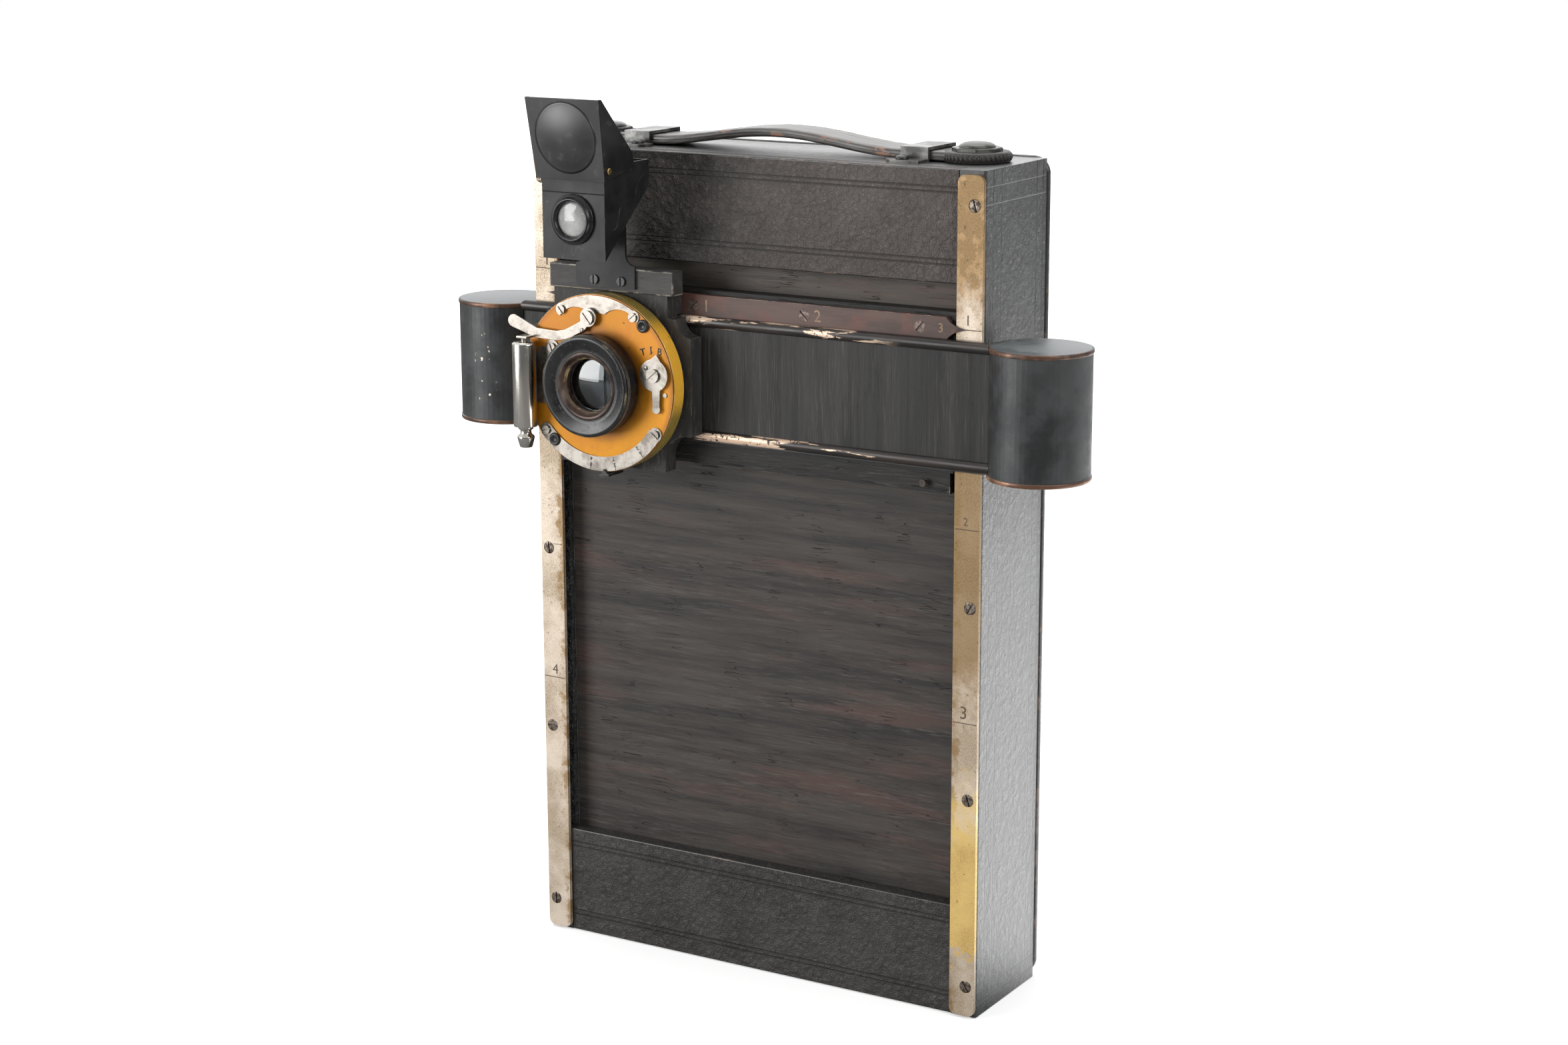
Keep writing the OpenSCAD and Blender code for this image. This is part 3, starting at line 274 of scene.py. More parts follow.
swell = noise(place, cells * 0.7, 2.5)
height = hump * 0.3 + (pore * 0.17 + swell * 0.85)
feed(gives["Height"], crack * -0.1 + height)
feed(gives["Crease"], crack)
feed(gives["Crest"], ramp(height, 0.58, 0.86) * ramp(pore, 0.15, 0.7))

given, gives = pattern_group("Rubbed patches", [("Vector", (0, 0, 0)), ("Scale", 60.0), ("Threshold", 0.5),
                                                ("Softness", 0.05)], ["Mask"])
cloud = noise(given["Vector"], given["Scale"], 5.0, 0.62)
half, middle = given["Softness"], given["Threshold"]
feed(gives["Mask"], ramp(cloud, middle - half, middle + half))

far_off = 9.0
line_labels = ["First", "Second", "Third", "Fourth"]
given, gives = pattern_group("Tooled lines", [("Along", 0.0), *[(label, far_off) for label in line_labels],
                                              ("Width", 0.0003)], ["Groove"])
groove = 0.0
for label in line_labels:
    line = 1.0 - abs(given["Along"] - given[label]) / given["Width"]
    groove = line.step("MAXIMUM", groove)
feed(gives["Groove"], groove)


def leather(name, colour, crest, across=None, cells=300.0, deep=0.0006, gloss=0.15, line=0.35,
            drawn_in="#5d5551", painted_sheen_right=None):
    """Black pebbled leather, lighter on its crests, partly from rubbing and partly as a painted highlight, and
    darkened in its creases as painted shade. Tooled lines lie at places along an axis, and the colour may be
    painted lighter toward the right as a painted sheen."""
    material, sockets, place = finish(name, Coat_Weight=gloss, Coat_Roughness=0.34,
                                      Specular_IOR_Level=0.25 + 0.35 * gloss)
    grain = pattern(place, "Leather grain", Cells=cells)
    dust = rubbed_patches(place, 34.0, 0.52, 0.12)
    scuff = rubbed_patches(place, 420.0, 0.68, 0.02)
    parts = place.to("SeparateXYZ")
    faint = ramp(noise(place, 75.0, 2.0), 0.3, 0.55)
    grooves = 0.0
    for axis, lines in (across or {}).items():
        named = dict(zip(line_labels, [v * mm for v in lines]))
        drawn = pattern(parts[axis], "Tooled lines", Width=0.0004, **named)["Groove"]
        grooves = drawn.step("MAXIMUM", grooves)
    height = grooves * -0.7 + grain["Height"]
    # Painted shade: the creases are darkened toward black.
    tone = mixed(grain["Crease"] * 0.45, colour, "#080808")
    # Painted sheen: the colour is mixed toward a lighter one toward the right.
    if painted_sheen_right:
        tone = mixed(ramp(parts["X"], -0.045, 0.03) * 0.85, tone, painted_sheen_right)
    tone = mixed(dust * 0.3 + 0.02, tone, crest)
    # Rubbed wear and painted highlight: the crests are mixed toward the lighter crest colour.
    tone = mixed(grain["Crest"] * 0.5, tone, crest)
    tone = mixed(scuff * 0.2, tone, "#6f675f")
    tone = mixed(grooves * faint * line, tone, drawn_in)
    paint(sockets, tone, ramp(grain["Crest"], 0.0, 1.0, 0.5, 0.36), height, deep)
    return material


def worn_edge(name, base, worn, scale, threshold, **plain):
    """An edge where the finish has rubbed through in places, with its own colour under it."""
    material, sockets, place = finish(name, **plain)
    mask = rubbed_patches(place, scale, threshold, 0.05)
    fine = noise(place, 900.0, 3.0)
    paint(sockets, mixed(mask, base, worn), ramp(fine, 0.3, 0.7, 0.38, 0.56), mask + fine, 0.00006)
    return material


def shown(name, mesh, *finishes):
    """Puts a mesh in the scene under its piece's name, with its finishes."""
    mesh.name = name
    for i, material in enumerate(finishes):
        if i < len(mesh.materials):
            mesh.materials[i] = material
        else:
            mesh.materials.append(material)
    piece = bpy.data.objects.new(name, mesh)
    bpy.context.scene.collection.objects.link(piece)
    return piece


def baked(piece):
    """Replaces a piece's mesh by what its modifiers make of it, and takes them off."""
    ready = piece.evaluated_get(bpy.context.evaluated_depsgraph_get())
    mesh = bpy.data.meshes.new_from_object(ready, preserve_all_data_layers=True,
                                           depsgraph=bpy.context.evaluated_depsgraph_get())
    piece.modifiers.clear()
    piece.data = mesh
    return piece


def placed(piece, body, slot, *nodes):
    """Fixes a piece to its body and hides the CAD nodes it stands for."""
    if nodes:
        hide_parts(*nodes)
    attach(piece, body)


def meshed(shape, name, smooth=False):
    """Turns a finished shape into a mesh."""
    mesh = bpy.data.meshes.new(name)
    shape.to_mesh(mesh)
    shape.free()
    if smooth:
        mesh.polygons.foreach_set("use_smooth", [True] * len(mesh.polygons))
    return mesh


def eased(name, node, body, slot, edge, surface, rubbed=None, angle=32, keep=None):
    """A CAD node as a clean mesh whose sharp edges are eased, and rubbed where handling has worn them."""
    shape = bmesh.new()
    shape.from_mesh(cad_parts[node].data)
    bmesh.ops.remove_doubles(shape, verts=shape.verts, dist=3e-6)
    if keep:
        away = [v for v in shape.verts if not keep(v.co)]
        bmesh.ops.delete(shape, geom=away, context="VERTS")
    bmesh.ops.dissolve_limit(shape, angle_limit=math.radians(0.7), verts=shape.verts, edges=shape.edges)
    mesh = meshed(shape, name, smooth=True)
    mesh.polygons.foreach_set("material_index", [0] * len(mesh.polygons))
    piece = shown(name, mesh, surface, rubbed or surface)
    if edge:
        bevel = piece.modifiers.new("Eased", "BEVEL")
        bevel.width, bevel.segments, bevel.limit_method = edge * mm, 2, "ANGLE"
        bevel.angle_limit, bevel.material = math.radians(angle), 1
        piece.modifiers.new("Flat faces stay flat", "WEIGHTED_NORMAL").keep_sharp = True
        baked(piece)
    else:
        mesh.set_sharp_from_angle(angle=math.radians(angle))
    placed(piece, body, slot, node)


side_leather = leather("Side leather", "#191b1a", "#4c5250",
                       {"Y": [-18.6, -12.6, 13.6, 18.4], "Z": [4.6, 9.2, 283.4, 289.2]},
                       cells=420.0, deep=0.0026, gloss=1.0, line=0.8, drawn_in="#8b9190")
# The front leather is painted lighter toward its right as a painted sheen, and kept darker at its left beside
# the finder as painted shade.
front_leather = leather("Front leather", "#1d1b1a", "#6f6661", {"Z": [287.2, 288.9, 263.2, 264.9]},
                        cells=440.0, deep=0.0026, painted_sheen_right="#504945")
foot_leather = leather("Foot leather", "#2d2b2a", "#4b4845", {"Z": [6.2, 7.9, 33.2, 34.9]}, cells=420.0,
                       deep=0.0009, drawn_in="#4a4644")
lid_leather = leather("Lid leather", "#1d1d1d", "#4a4a49", {"Y": [-16.0, -14.4, 14.4, 16.0]}, cells=300.0,
                      gloss=0.8, deep=0.0008)
rubbed_leather = worn_edge("Rubbed leather edge", "#201f1e", "#5d4b41", 95.0, 0.6, Coat_Weight=0.4)
back_leather = leather("Back leather", "#1a1b1b", "#4a4e4c",
                       {"X": [-84, -78, 78, 84], "Z": [6, 12, 283, 289]},
                       cells=460.0, deep=0.0011, gloss=0.7, line=0.7, drawn_in="#7f8583")
for name, node, body, edge, cover in [
        ("left_side_cover", "left_side", "case", 0.9, side_leather),
        ("right_side_cover", "right_side", "case", 0.9, side_leather),
        ("upper_front_cover", "upper_front_panel", "case", 0.5, front_leather),
        ("lower_front_cover", "lower_front_panel", "case", 0.5, foot_leather),
        ("lid_cover", "top_board", "case", 0.4, lid_leather),
        ("base_cover", "bottom_board", "case", 0.4, lid_leather),
        ("back_cover", "back_panel", "back", 0.9, back_leather)]:
    eased(name, node, body, "leather", edge, cover, rubbed_leather)

# The two index rails are nickelled brass strips let into the case's front corners. The plating has gone
# beige and stained, and has worn through to brass low on the right one. A line is cut where each row stops.
rail_metal, sockets, place = finish("Rail plating", Metallic=0.55, IOR=1.45)
stain = rubbed_patches(place, 34.0, 0.5, 0.12)
grit = rubbed_patches(place, 2200.0, 0.54, 0.1)
pitted = rubbed_patches(place, 620.0, 0.66, 0.03)
parts = place.to("SeparateXYZ")
edge_noise = noise(place, 170.0, 6.0, 0.75)
reach = (edge_noise - 0.5) * 0.05 + parts["Z"]
right = ramp(parts["X"], 0.0, 0.01)
bare = ramp(reach, 0.0215, 0.0235) * ramp(reach, 0.062, 0.092, 1.0, 0.0) * right
bronzed = ramp(reach, 0.238, 0.262) * right
inner = ramp((edge_noise - 0.5) * 0.012 + abs(parts["X"]), 0.0812, 0.0832, 1.0, 0.0)
tone = mixed(stain, "#d8cab9", "#b3a28c")
blotch = rubbed_patches(place, 140.0, 0.5, 0.05)
tone = mixed((blotch * 0.6 + 0.2) * inner, tone, "#8f6f42")
browned = ramp(reach, 0.1, 0.13) * ramp(reach, 0.2, 0.225, 0.85, 0.0)
tone = mixed(browned * right, tone, "#8a6f47")
tone = mixed(bronzed, tone, mixed(blotch, "#8d7350", "#a58862"))
tone = mixed(bare, tone, mixed(stain, "#e0c078", "#cdab68"))
tone = mixed(grit * (stain * 0.3 + 0.16), tone, "#5b4e3e")
tone = mixed(pitted * 0.5, tone, "#4d4235")
paint(sockets, tone, ramp(grit, 0.0, 1.0, 0.46, 0.62), grit * -0.3 - pitted, 0.00003)
rail_edge = worn_edge("Rail edge", "#a58a5c", "#d8c496", 120.0, 0.5, Metallic=0.85)
eased("rails", "index_rails", "case", "rail_nickel", 0.35, rail_metal, rail_edge)


def two_tone(name, grain, first, second, rough=None, depth=None, **plain):
    """A finish that drifts between two colours with its grain, and its roughness with it."""
    material, sockets, place = finish(name, **plain)
    share = grain[0](place, *grain[1:])
    paint(sockets, mixed(share, first, second), rough and ramp(share, *rough), depth and share, depth)
    return material


dark_cut = two_tone("Cut lines", (noise, 900.0, 3.0), "#2a211a", "#6a5741", Roughness=0.7)


def grown(name, tree, carrier_mesh=None, **values):
    """Bakes a Geometry Nodes tree, with its inputs set by identifier, into one plain piece."""
    carrier = shown(name, carrier_mesh or bpy.data.meshes.new(name))
    modifier = carrier.modifiers.new("Made", "NODES")
    modifier.node_group = tree
    for item in tree.interface.items_tree:
        if item.in_out == "INPUT" and item.name in values:
            modifier[item.identifier] = values[item.name]
    return baked(carrier)


def build_tree(name, given):
    """An empty Geometry Nodes tree with named inputs, one of them the points it starts from."""
    tree = bpy.data.node_groups.new(name, "GeometryNodeTree")
    tree.interface.new_socket("Geometry", in_out="INPUT", socket_type="NodeSocketGeometry")
    for label, kind, value in given:
        socket = tree.interface.new_socket(label, in_out="INPUT", socket_type="NodeSocket" + kind)
        if value is not None:
            socket.default_value = value
    tree.interface.new_socket("Geometry", in_out="OUTPUT", socket_type="NodeSocketGeometry")
    return tree, knot(tree, "NodeGroupInput"), tree.nodes.new("NodeGroupOutput").inputs


def planted(given, gives, copy, points=None, facing=None, spin=None, smooth=None):
    """Stands a copy on each point, makes the copies real and gives them their finish."""
    made = (points or given["Geometry"]).to("GeometryNodeInstanceOnPoints", Instance=copy, Rotation=facing)[0]
    if spin:
        made = made.to("GeometryNodeRotateInstances", Rotation=spin)[0]
    made = made.to("GeometryNodeRealizeInstances")[0]
    if smooth is not None:
        made = made.to("GeometryNodeSetShadeSmooth", Shade_Smooth=smooth)[0]
    feed(gives[0], made.to("GeometryNodeSetMaterial", Material=given["Finish"])[0])


def dots(points):
    """A mesh of bare points, given as X, depth behind the case's front face, and Z in millimetres."""
    mesh = bpy.data.meshes.new("dots")
    mesh.from_pydata([(x * mm, (y + front_y) * mm, z * mm) for x, y, z in points], [], [])
    return mesh


cut_tree, given, gives = build_tree("Cut marks", [("Size", "Vector", (0.01, 0.0001, 0.0003)),
                                                  ("Finish", "Material", None)])
planted(given, gives, given["Size"].to("GeometryNodeMeshCube")[0])
right_marks, left_marks, worn_mark = [242.33, 174.6, 106.87], [250.8, 200.0, 149.2, 98.4], 149.2
rail_x, rail_face = 85.2, -1.5
clear_marks = [(rail_x, rail_face, z) for z in right_marks]
clear_marks += [(-rail_x, rail_face, z) for z in left_marks if z != worn_mark]
for name, spots, long, high in [("index_lines", clear_marks, 0.0091, 0.0003),
                                ("worn_index_line", [(-82.7, rail_face, worn_mark)], 0.0038, 0.00022)]:
    lines = grown(name, cut_tree, dots(spots), Size=(long, 0.00005, high), Finish=dark_cut)
    placed(lines, "case", "bronze")


def lettered(words, high, x, depth, z, turn=0.0, bold=0.0):
    """Cut letters or figures, standing in the XZ plane and turned about the middle of the word."""
    curve = bpy.data.curves.new("letters", "FONT")
    curve.body, curve.size, curve.align_x, curve.align_y = words, high * mm / 0.72, "CENTER", "CENTER"
    curve.resolution_u, curve.offset = 4, bold * high * mm
    writing = bpy.data.objects.new("letters", curve)
    bpy.context.scene.collection.objects.link(writing)
    ready = writing.evaluated_get(bpy.context.evaluated_depsgraph_get())
    mesh = bpy.data.meshes.new_from_object(ready)
    bpy.data.objects.remove(writing)
    mesh.transform(Matrix.Translation(Vector((x, depth + front_y, z)) * mm)
                   @ Matrix.Rotation(math.radians(turn), 4, "Y") @ Matrix.Rotation(math.pi / 2, 4, "X"))
    return mesh


def gathered(name, meshes, *finishes):
    """Several meshes joined as one piece."""
    shape = bmesh.new()
    for mesh in meshes:
        shape.from_mesh(mesh)
    return shown(name, meshed(shape, name), *finishes)


figure_face = rail_face - 0.02
figures = [lettered(str(i + 1), high, 84.7, figure_face, z + 1.2 + high / 2)
           for i, z, high in zip(range(3), right_marks, (3.6, 2.8, 4.6))]
figures += [lettered(str(i + 1), 3.9, -84.9, figure_face, z + 2.9)
            for i, z in enumerate(left_marks) if z != worn_mark]
placed(gathered("rail_figures", figures, dark_cut), "case", "bronze")

# Ten countersunk slotted screws hold the rails. Their heads are filed flush, have gone dark, and stop at
# whatever angle they were driven to.
screw_steel = two_tone("Dark screw heads", (rubbed_patches, 700.0, 0.5, 0.1), "#8d8379", "#4b4039",
                       (0.0, 1.0, 0.32, 0.6), 0.00003, Metallic=0.85)


def turned(name, profile, steps=96):
    """A lathe-turned shape about Z: radius and height in millimetres from bottom to top, closed on the axis
    or on itself."""
    shape = bmesh.new()
    rings = []
    for radius, height in profile:
        if radius < 1e-6:
            rings.append([shape.verts.new((0, 0, height * mm))])
        else:
            rings.append([shape.verts.new((radius * mm * math.cos(2 * math.pi * i / steps),
                                           radius * mm * math.sin(2 * math.pi * i / steps), height * mm))
                          for i in range(steps)])
    pairs = list(zip(rings, rings[1:]))
    if len(rings[0]) > 1 and len(rings[-1]) > 1:
        pairs.append((rings[-1], rings[0]))
    for low, high in pairs:
        for i in range(steps):
            j = (i + 1) % steps
            corners = [low[i % len(low)], low[j % len(low)], high[j % len(high)], high[i % len(high)]]
            corners = [v for k, v in enumerate(corners) if v not in corners[:k]]
            if len(corners) > 2:
                shape.faces.new(corners)
    bmesh.ops.recalc_face_normals(shape, faces=shape.faces)
    return meshed(shape, name, smooth=True)


def skinned(shape, rings):
    """Joins rings of points by faces and closes both ends."""
    for low, high in zip(rings, rings[1:]):
        for i in range(len(low)):
            j = (i + 1) % len(low)
            shape.faces.new([low[i], low[j], high[j], high[i]])
    shape.faces.new(rings[-1])
    shape.faces.new(list(reversed(rings[0])))


def slotted_head(radius, high, slot_half, crown):
    """One screw head about Z with its slot along X, cut by lowering the middle strip."""
    shape = bmesh.new()
    steps, cut = 40, 0.45
    turns = [2 * math.pi * i / steps for i in range(steps)]
    rings = [[shape.verts.new((radius * math.cos(a) * share * mm, radius * math.sin(a) * share * mm, z * mm))
              for a in turns]
             for share, z in ((1.0, 0.0), (1.0, high - crown), (0.93, high - 0.35 * crown), (0.75, high))]
    skinned(shape, rings)
    for side in (-1, 1):
        bmesh.ops.bisect_plane(shape, geom=shape.verts[:] + shape.edges[:] + shape.faces[:],
                               plane_co=(0, side * slot_half * mm, 0), plane_no=(0, 1, 0))
    middle = [f for f in shape.faces if abs(f.calc_center_median().y) < slot_half * mm * 0.999
              and f.normal.z > 0.05 and f.calc_center_median().z > 0]
    sunk = bmesh.ops.extrude_face_region(shape, geom=middle)
    low = [v for v in sunk["geom"] if isinstance(v, bmesh.types.BMVert)]
    bmesh.ops.delete(shape, geom=middle, context="FACES_ONLY")
    for v in low:
        v.co.z = (high - cut) * mm
    bmesh.ops.recalc_face_normals(shape, faces=shape.faces)
    return meshed(shape, "head")


screw_tree, given, gives = build_tree("Driven screws", [
    ("Head", "Object", None), ("Finish", "Material", None), ("Seed", "Int", 3), ("Facing", "Rotation", None)])
head = knot(screw_tree, "GeometryNodeObjectInfo", Object=given["Head"])["Geometry"]
spin = knot(screw_tree, "FunctionNodeRandomValue", None, None, 0.0, math.pi, data_type="FLOAT",
            Seed=given["Seed"])[1]
own = knot(screw_tree, "CombineXYZ", Z=spin)[0]
planted(given, gives, head, facing=given["Facing"], spin=own, smooth=False)
rail_head = shown("rail_head", slotted_head(2.2, 1.5, 0.28, 0.12))
rail_spots = [(s * 86.7, 0.0, 11.5 + 68.0 * i) for s in (-1, 1) for i in range(5)]
rail_heads = grown("rail_screw_heads", screw_tree, dots(rail_spots), Head=rail_head, Finish=screw_steel,
                   Seed=5, Facing=(math.pi / 2, 0, 0))
placed(rail_heads, "case", "steel", "rail_screws")

# The carrying strap is two thicknesses of black harness leather, glued and burnished at the edges, which
# rises between its keepers. Long folds have cracked its top, and the red-brown hide shows at the chips.


def strap_height(x, rise=4.7, half_span=50.5):
    """Rise of the strap over the lid at a place along it, in millimetres."""
    return rise * math.cos(math.radians(90 * x / half_span)) ** 2 if abs(x) < half_span else 0.0


section = [(8.8, 1.6), (8.8, 2.3), (8.55, 2.9), (7.9, 3.2), (5.0, 3.2), (2.5, 3.2), (0.0, 3.2), (-2.5, 3.2),
           (-5.0, 3.2), (-7.9, 3.2), (-8.55, 2.9), (-8.8, 2.3), (-8.8, 1.6), (-8.8, 0.9), (-8.55, 0.3),
           (-7.9, 0.0), (0.0, 0.0), (7.9, 0.0), (8.55, 0.3), (8.8, 0.9)]
strap_long, strap_low, stretches = 140.6, 295.42, 150
shape = bmesh.new()
laid = shape.verts.layers.float_vector.new("laid")
rings = []
for x in [-strap_long / 2 + strap_long * i / stretches for i in range(stretches + 1)]:
    slope = (strap_height(x + 0.05) - strap_height(x - 0.05)) / 0.1
    tilt = Vector((-slope, 0, 1)).normalized()
    narrow = 1.0 - 0.02 * (1 + math.sin(0.31 * x)) / 2
    ring = []
    for across, up in section:
        ripple = 0.06 * math.sin(0.9 * x + across) * math.sin(0.37 * x + 0.8 * across)
        lift = max(up - 0.08, 0.05) + (ripple if up > 3 else 0)
        v = shape.verts.new(((x + tilt.x * lift) * mm, across * narrow * mm,
                             (strap_low + strap_height(x) + tilt.z * lift) * mm))
        v[laid] = (x * mm, across * mm, up * mm)
        ring.append(v)
    rings.append(ring)
skinned(shape, rings)
bmesh.ops.recalc_face_normals(shape, faces=shape.faces)
strap_mesh = meshed(shape, "strap", smooth=True)


def stretched(place, *sizes):
    """The place, drawn out or pressed together along each axis."""
    return place.to("VectorMath", sizes, operation="MULTIPLY")[0]


strap_leather, sockets, place = finish("Strap leather", Coat_Weight=0.5, Coat_Roughness=0.3)
lay = knot(place.tree, "Attribute", attribute_name="laid")["Vector"]
parts = lay.to("SeparateXYZ")
long_way = stretched(lay, 0.08, 1.0, 1.0)
crack = noise(long_way, 900.0, 4.0, 0.7)
fold = ramp(noise(long_way, 340.0, 3.0), 0.42, 0.6)
chipped = rubbed_patches(stretched(lay, 0.35, 1.0, 1.0), 190.0, 0.585, 0.012)
rim = ramp(abs(parts["Y"]), 0.0078, 0.0086)
chipped = chipped * rim
seam = ramp(abs(parts["Z"] - 0.0016), 0.0, 0.00022, 1.0, 0.0) * rim
tone = mixed(fold, "#2b2826", "#4a4541")
tone = mixed(ramp(crack, 0.5, 0.72) * 0.6, tone, "#7b756f")
tone = mixed(seam, tone, "#171413")
tone = mixed(chipped, tone, "#86604b")
paint(sockets, tone, ramp(crack, 0.3, 0.7, 0.38, 0.6), crack * 0.7 + fold - seam, 0.00022)
placed(shown("strap", strap_mesh, strap_leather), "case", "leather", "handle_strap")

# Each end of the strap is stitched into a round pad of stacked leather with a corded rim. An eight-sided
# black cap with a domed middle covers the screw that holds the pad down.
cord_tree, given, gives = build_tree("Corded rim", [("Turns", "Int", 36), ("Radius", "Float", 0.0117),
                                                    ("Cord", "Float", 0.0009), ("Lean", "Float", 0.5),
                                                    ("Finish", "Material", None)])


def round_ring(tree, count, radius):
    """Points on a circle, and the turn that faces each of them outward."""
    spot = knot(tree, "GeometryNodeInputPosition")[0]
    return (knot(tree, "GeometryNodeMeshCircle", Vertices=count, Radius=radius)[0],
            knot(tree, "FunctionNodeAlignRotationToVector", Vector=spot, axis="X")[0])


ring, turn = round_ring(cord_tree, given["Turns"], given["Radius"])
bead = knot(cord_tree, "GeometryNodeMeshUVSphere", Segments=8, Rings=6, Radius=given["Cord"])[0]
bead = bead.to("GeometryNodeTransform", Scale=(0.75, 1.35, 1.7))[0]
leaned = knot(cord_tree, "CombineXYZ", X=given["Lean"])[0]
planted(given, gives, bead, points=ring, facing=turn, spin=leaned, smooth=True)
pad_leather = leather("Pad leather", "#201f1e", "#454240", cells=620.0, deep=0.0002)
cap_black = two_tone("Black cap", (rubbed_patches, 150.0, 0.52, 0.1), "#2e2e2c", "#5a5a54",
                     (0.0, 1.0, 0.32, 0.5), 0.00004, Metallic=0.3, Coat_Weight=0.3, Coat_Roughness=0.25)
pad_x, lid_z = 74.3, 295.05
leathers, metals = [], []
for side in (-1, 1):
    rim = grown("rim", cord_tree, Turns=40, Radius=11.35 * mm, Cord=0.00078, Lean=0.55, Finish=pad_leather)
    rim.data.transform(Matrix.Translation((0, 0, 1.8 * mm)))
    pad = turned("pad", [(0, 0), (11.0, 0), (11.5, 0.5), (11.5, 2.9), (11.0, 3.5), (9.4, 3.58), (0, 3.58)])
    dome = turned("dome", [(0, 4.8), (6.3, 4.8), (6.2, 5.3), (5.7, 5.8), (4.6, 6.3), (3.1, 6.6), (1.5, 6.75),
                           (0, 6.8)], steps=48)
    flat = turned("flat", [(0, 3.5), (8.5, 3.5), (8.6, 3.6), (8.6, 4.55), (8.3, 4.88), (0, 4.88)], steps=8)
    flat.polygons.foreach_set("use_smooth", [False] * len(flat.polygons))
    flat.transform(Matrix.Rotation(math.radians(22.5), 4, "Z"))
    for mesh in (rim.data, pad, flat, dome):
        mesh.transform(Matrix.Translation((side * pad_x * mm, 0, lid_z * mm)))
    leathers += [rim.data, pad]
    metals += [flat, dome]
    bpy.data.objects.remove(rim)
placed(gathered("strap_pads", leathers, pad_leather), "case", "leather", "strap_ends")
placed(gathered("pad_caps", metals, cap_black), "case", "black_metal")

# Four bridges of thin black-japanned steel keep the strap down and let it slide. Each foot is held by a
# domed screw, and the paint has worn grey along the folds.
japan, sockets, place = finish("Black japan", Metallic=0.2, Coat_Weight=0.25, Coat_Roughness=0.3)
cloudy = rubbed_patches(place, 120.0, 0.55, 0.1)
fine = noise(place, 1400.0, 3.0)
paint(sockets, mixed(cloudy, "#1b1b1c", "#2d2c2b"), ramp(cloudy, 0.0, 1.0, 0.36, 0.5), fine, 0.00002)
japan_edge = worn_edge("Japan edge", "#343434", "#7c7a77", 160.0, 0.5, Metallic=0.5)
keeper_black = two_tone("Keeper japan", (rubbed_patches, 130.0, 0.5, 0.12), "#2b2b2a", "#6b6a66",
                        (0.0, 1.0, 0.4, 0.3), 0.00003, Metallic=0.45, Coat_Weight=0.3, Coat_Roughness=0.3)
eased("keepers", "strap_keepers", "case", "black_metal", 0.3, keeper_black, japan_edge)
domed_head = shown("domed_head", turned("domed", [(0, 0), (2.25, 0), (2.3, 0.3), (2.1, 0.75), (1.6, 1.1),
                                                  (0.9, 1.33), (0, 1.4)], steps=32))
keeper_heads = grown("keeper_screw_heads", screw_tree,
                     dots([(s * 53.1, 24 + f * 13.6, 296.0) for s in (-1, 1) for f in (-1, 1)]),
                     Head=domed_head, Finish=japan, Seed=2)
keeper_heads.data.polygons.foreach_set("use_smooth", [True] * len(keeper_heads.data.polygons))
placed(keeper_heads, "case", "black_metal", "keeper_screws")

# The upper and lower blinds keep the light out above and below the carriage. They are thin slats of dark
# stained wood on a cloth back, planed flush, and slide in grooves of the side boards onto spring rollers.
given, gives = pattern_group("Long grain", [("Vector", (0, 0, 0)), ("Stretch", (0.05, 1.0, 1.0)),
                                            ("Scale", 500.0), ("Hairline", 0.01)], ["Streak", "Fine", "Hair"])
drawn = given["Vector"].to("VectorMath", given["Stretch"], operation="MULTIPLY")[0]
broad = noise(drawn, given["Scale"] * 0.2, 4.0, 0.6)
narrow = noise(drawn, given["Scale"] * 1.5, 4.0, 0.7)
line = abs(noise(drawn, given["Scale"] * 0.55, 1.0) - 0.5)
gated = ramp(noise(given["Vector"], 95.0), 0.52, 0.62)
hair = ramp(line, 0.0, given["Hairline"], 1.0, 0.0) * gated
for label, value in (("Streak", broad), ("Fine", narrow), ("Hair", hair)):
    feed(gives[label], value)


def slat_wood(name, dark, mid, warm, stretch, shine, scale=520.0, hairline=0.012, cracks=1.0):
    """Dark stained wood with its grain along one way, warmer bands in it and fine open cracks."""
    material, sockets, place = finish(name, Specular_IOR_Level=0.25)
    grain = pattern(place, "Long grain", Stretch=stretch, Scale=scale, Hairline=hairline)
    wide = tuple(0.12 if s < 0.5 else 1.0 for s in stretch)
    drift = stretched(place, *wide)
    band = noise(drift, 95.0, 5.0, 0.6)
    tone = mixed(ramp(grain["Streak"], 0.3, 0.7), dark, mid)
    tone = mixed(ramp(band, 0.52, 0.68), tone, warm)
    rubbed = rubbed_patches(drift, 48.0, 0.5, 0.14)
    tone = mixed(ramp(grain["Fine"], 0.5, 0.72) * (rubbed * 0.42 + 0.12), tone, "#5c5855")
    tone = mixed(grain["Hair"] * cracks, tone, "#0c0b0b")
    paint(sockets, tone, ramp(grain["Fine"], 0.3, 0.7, shine, shine + 0.16),
          grain["Fine"] * 0.6 - grain["Hair"] * cracks, 0.00012)
    return material


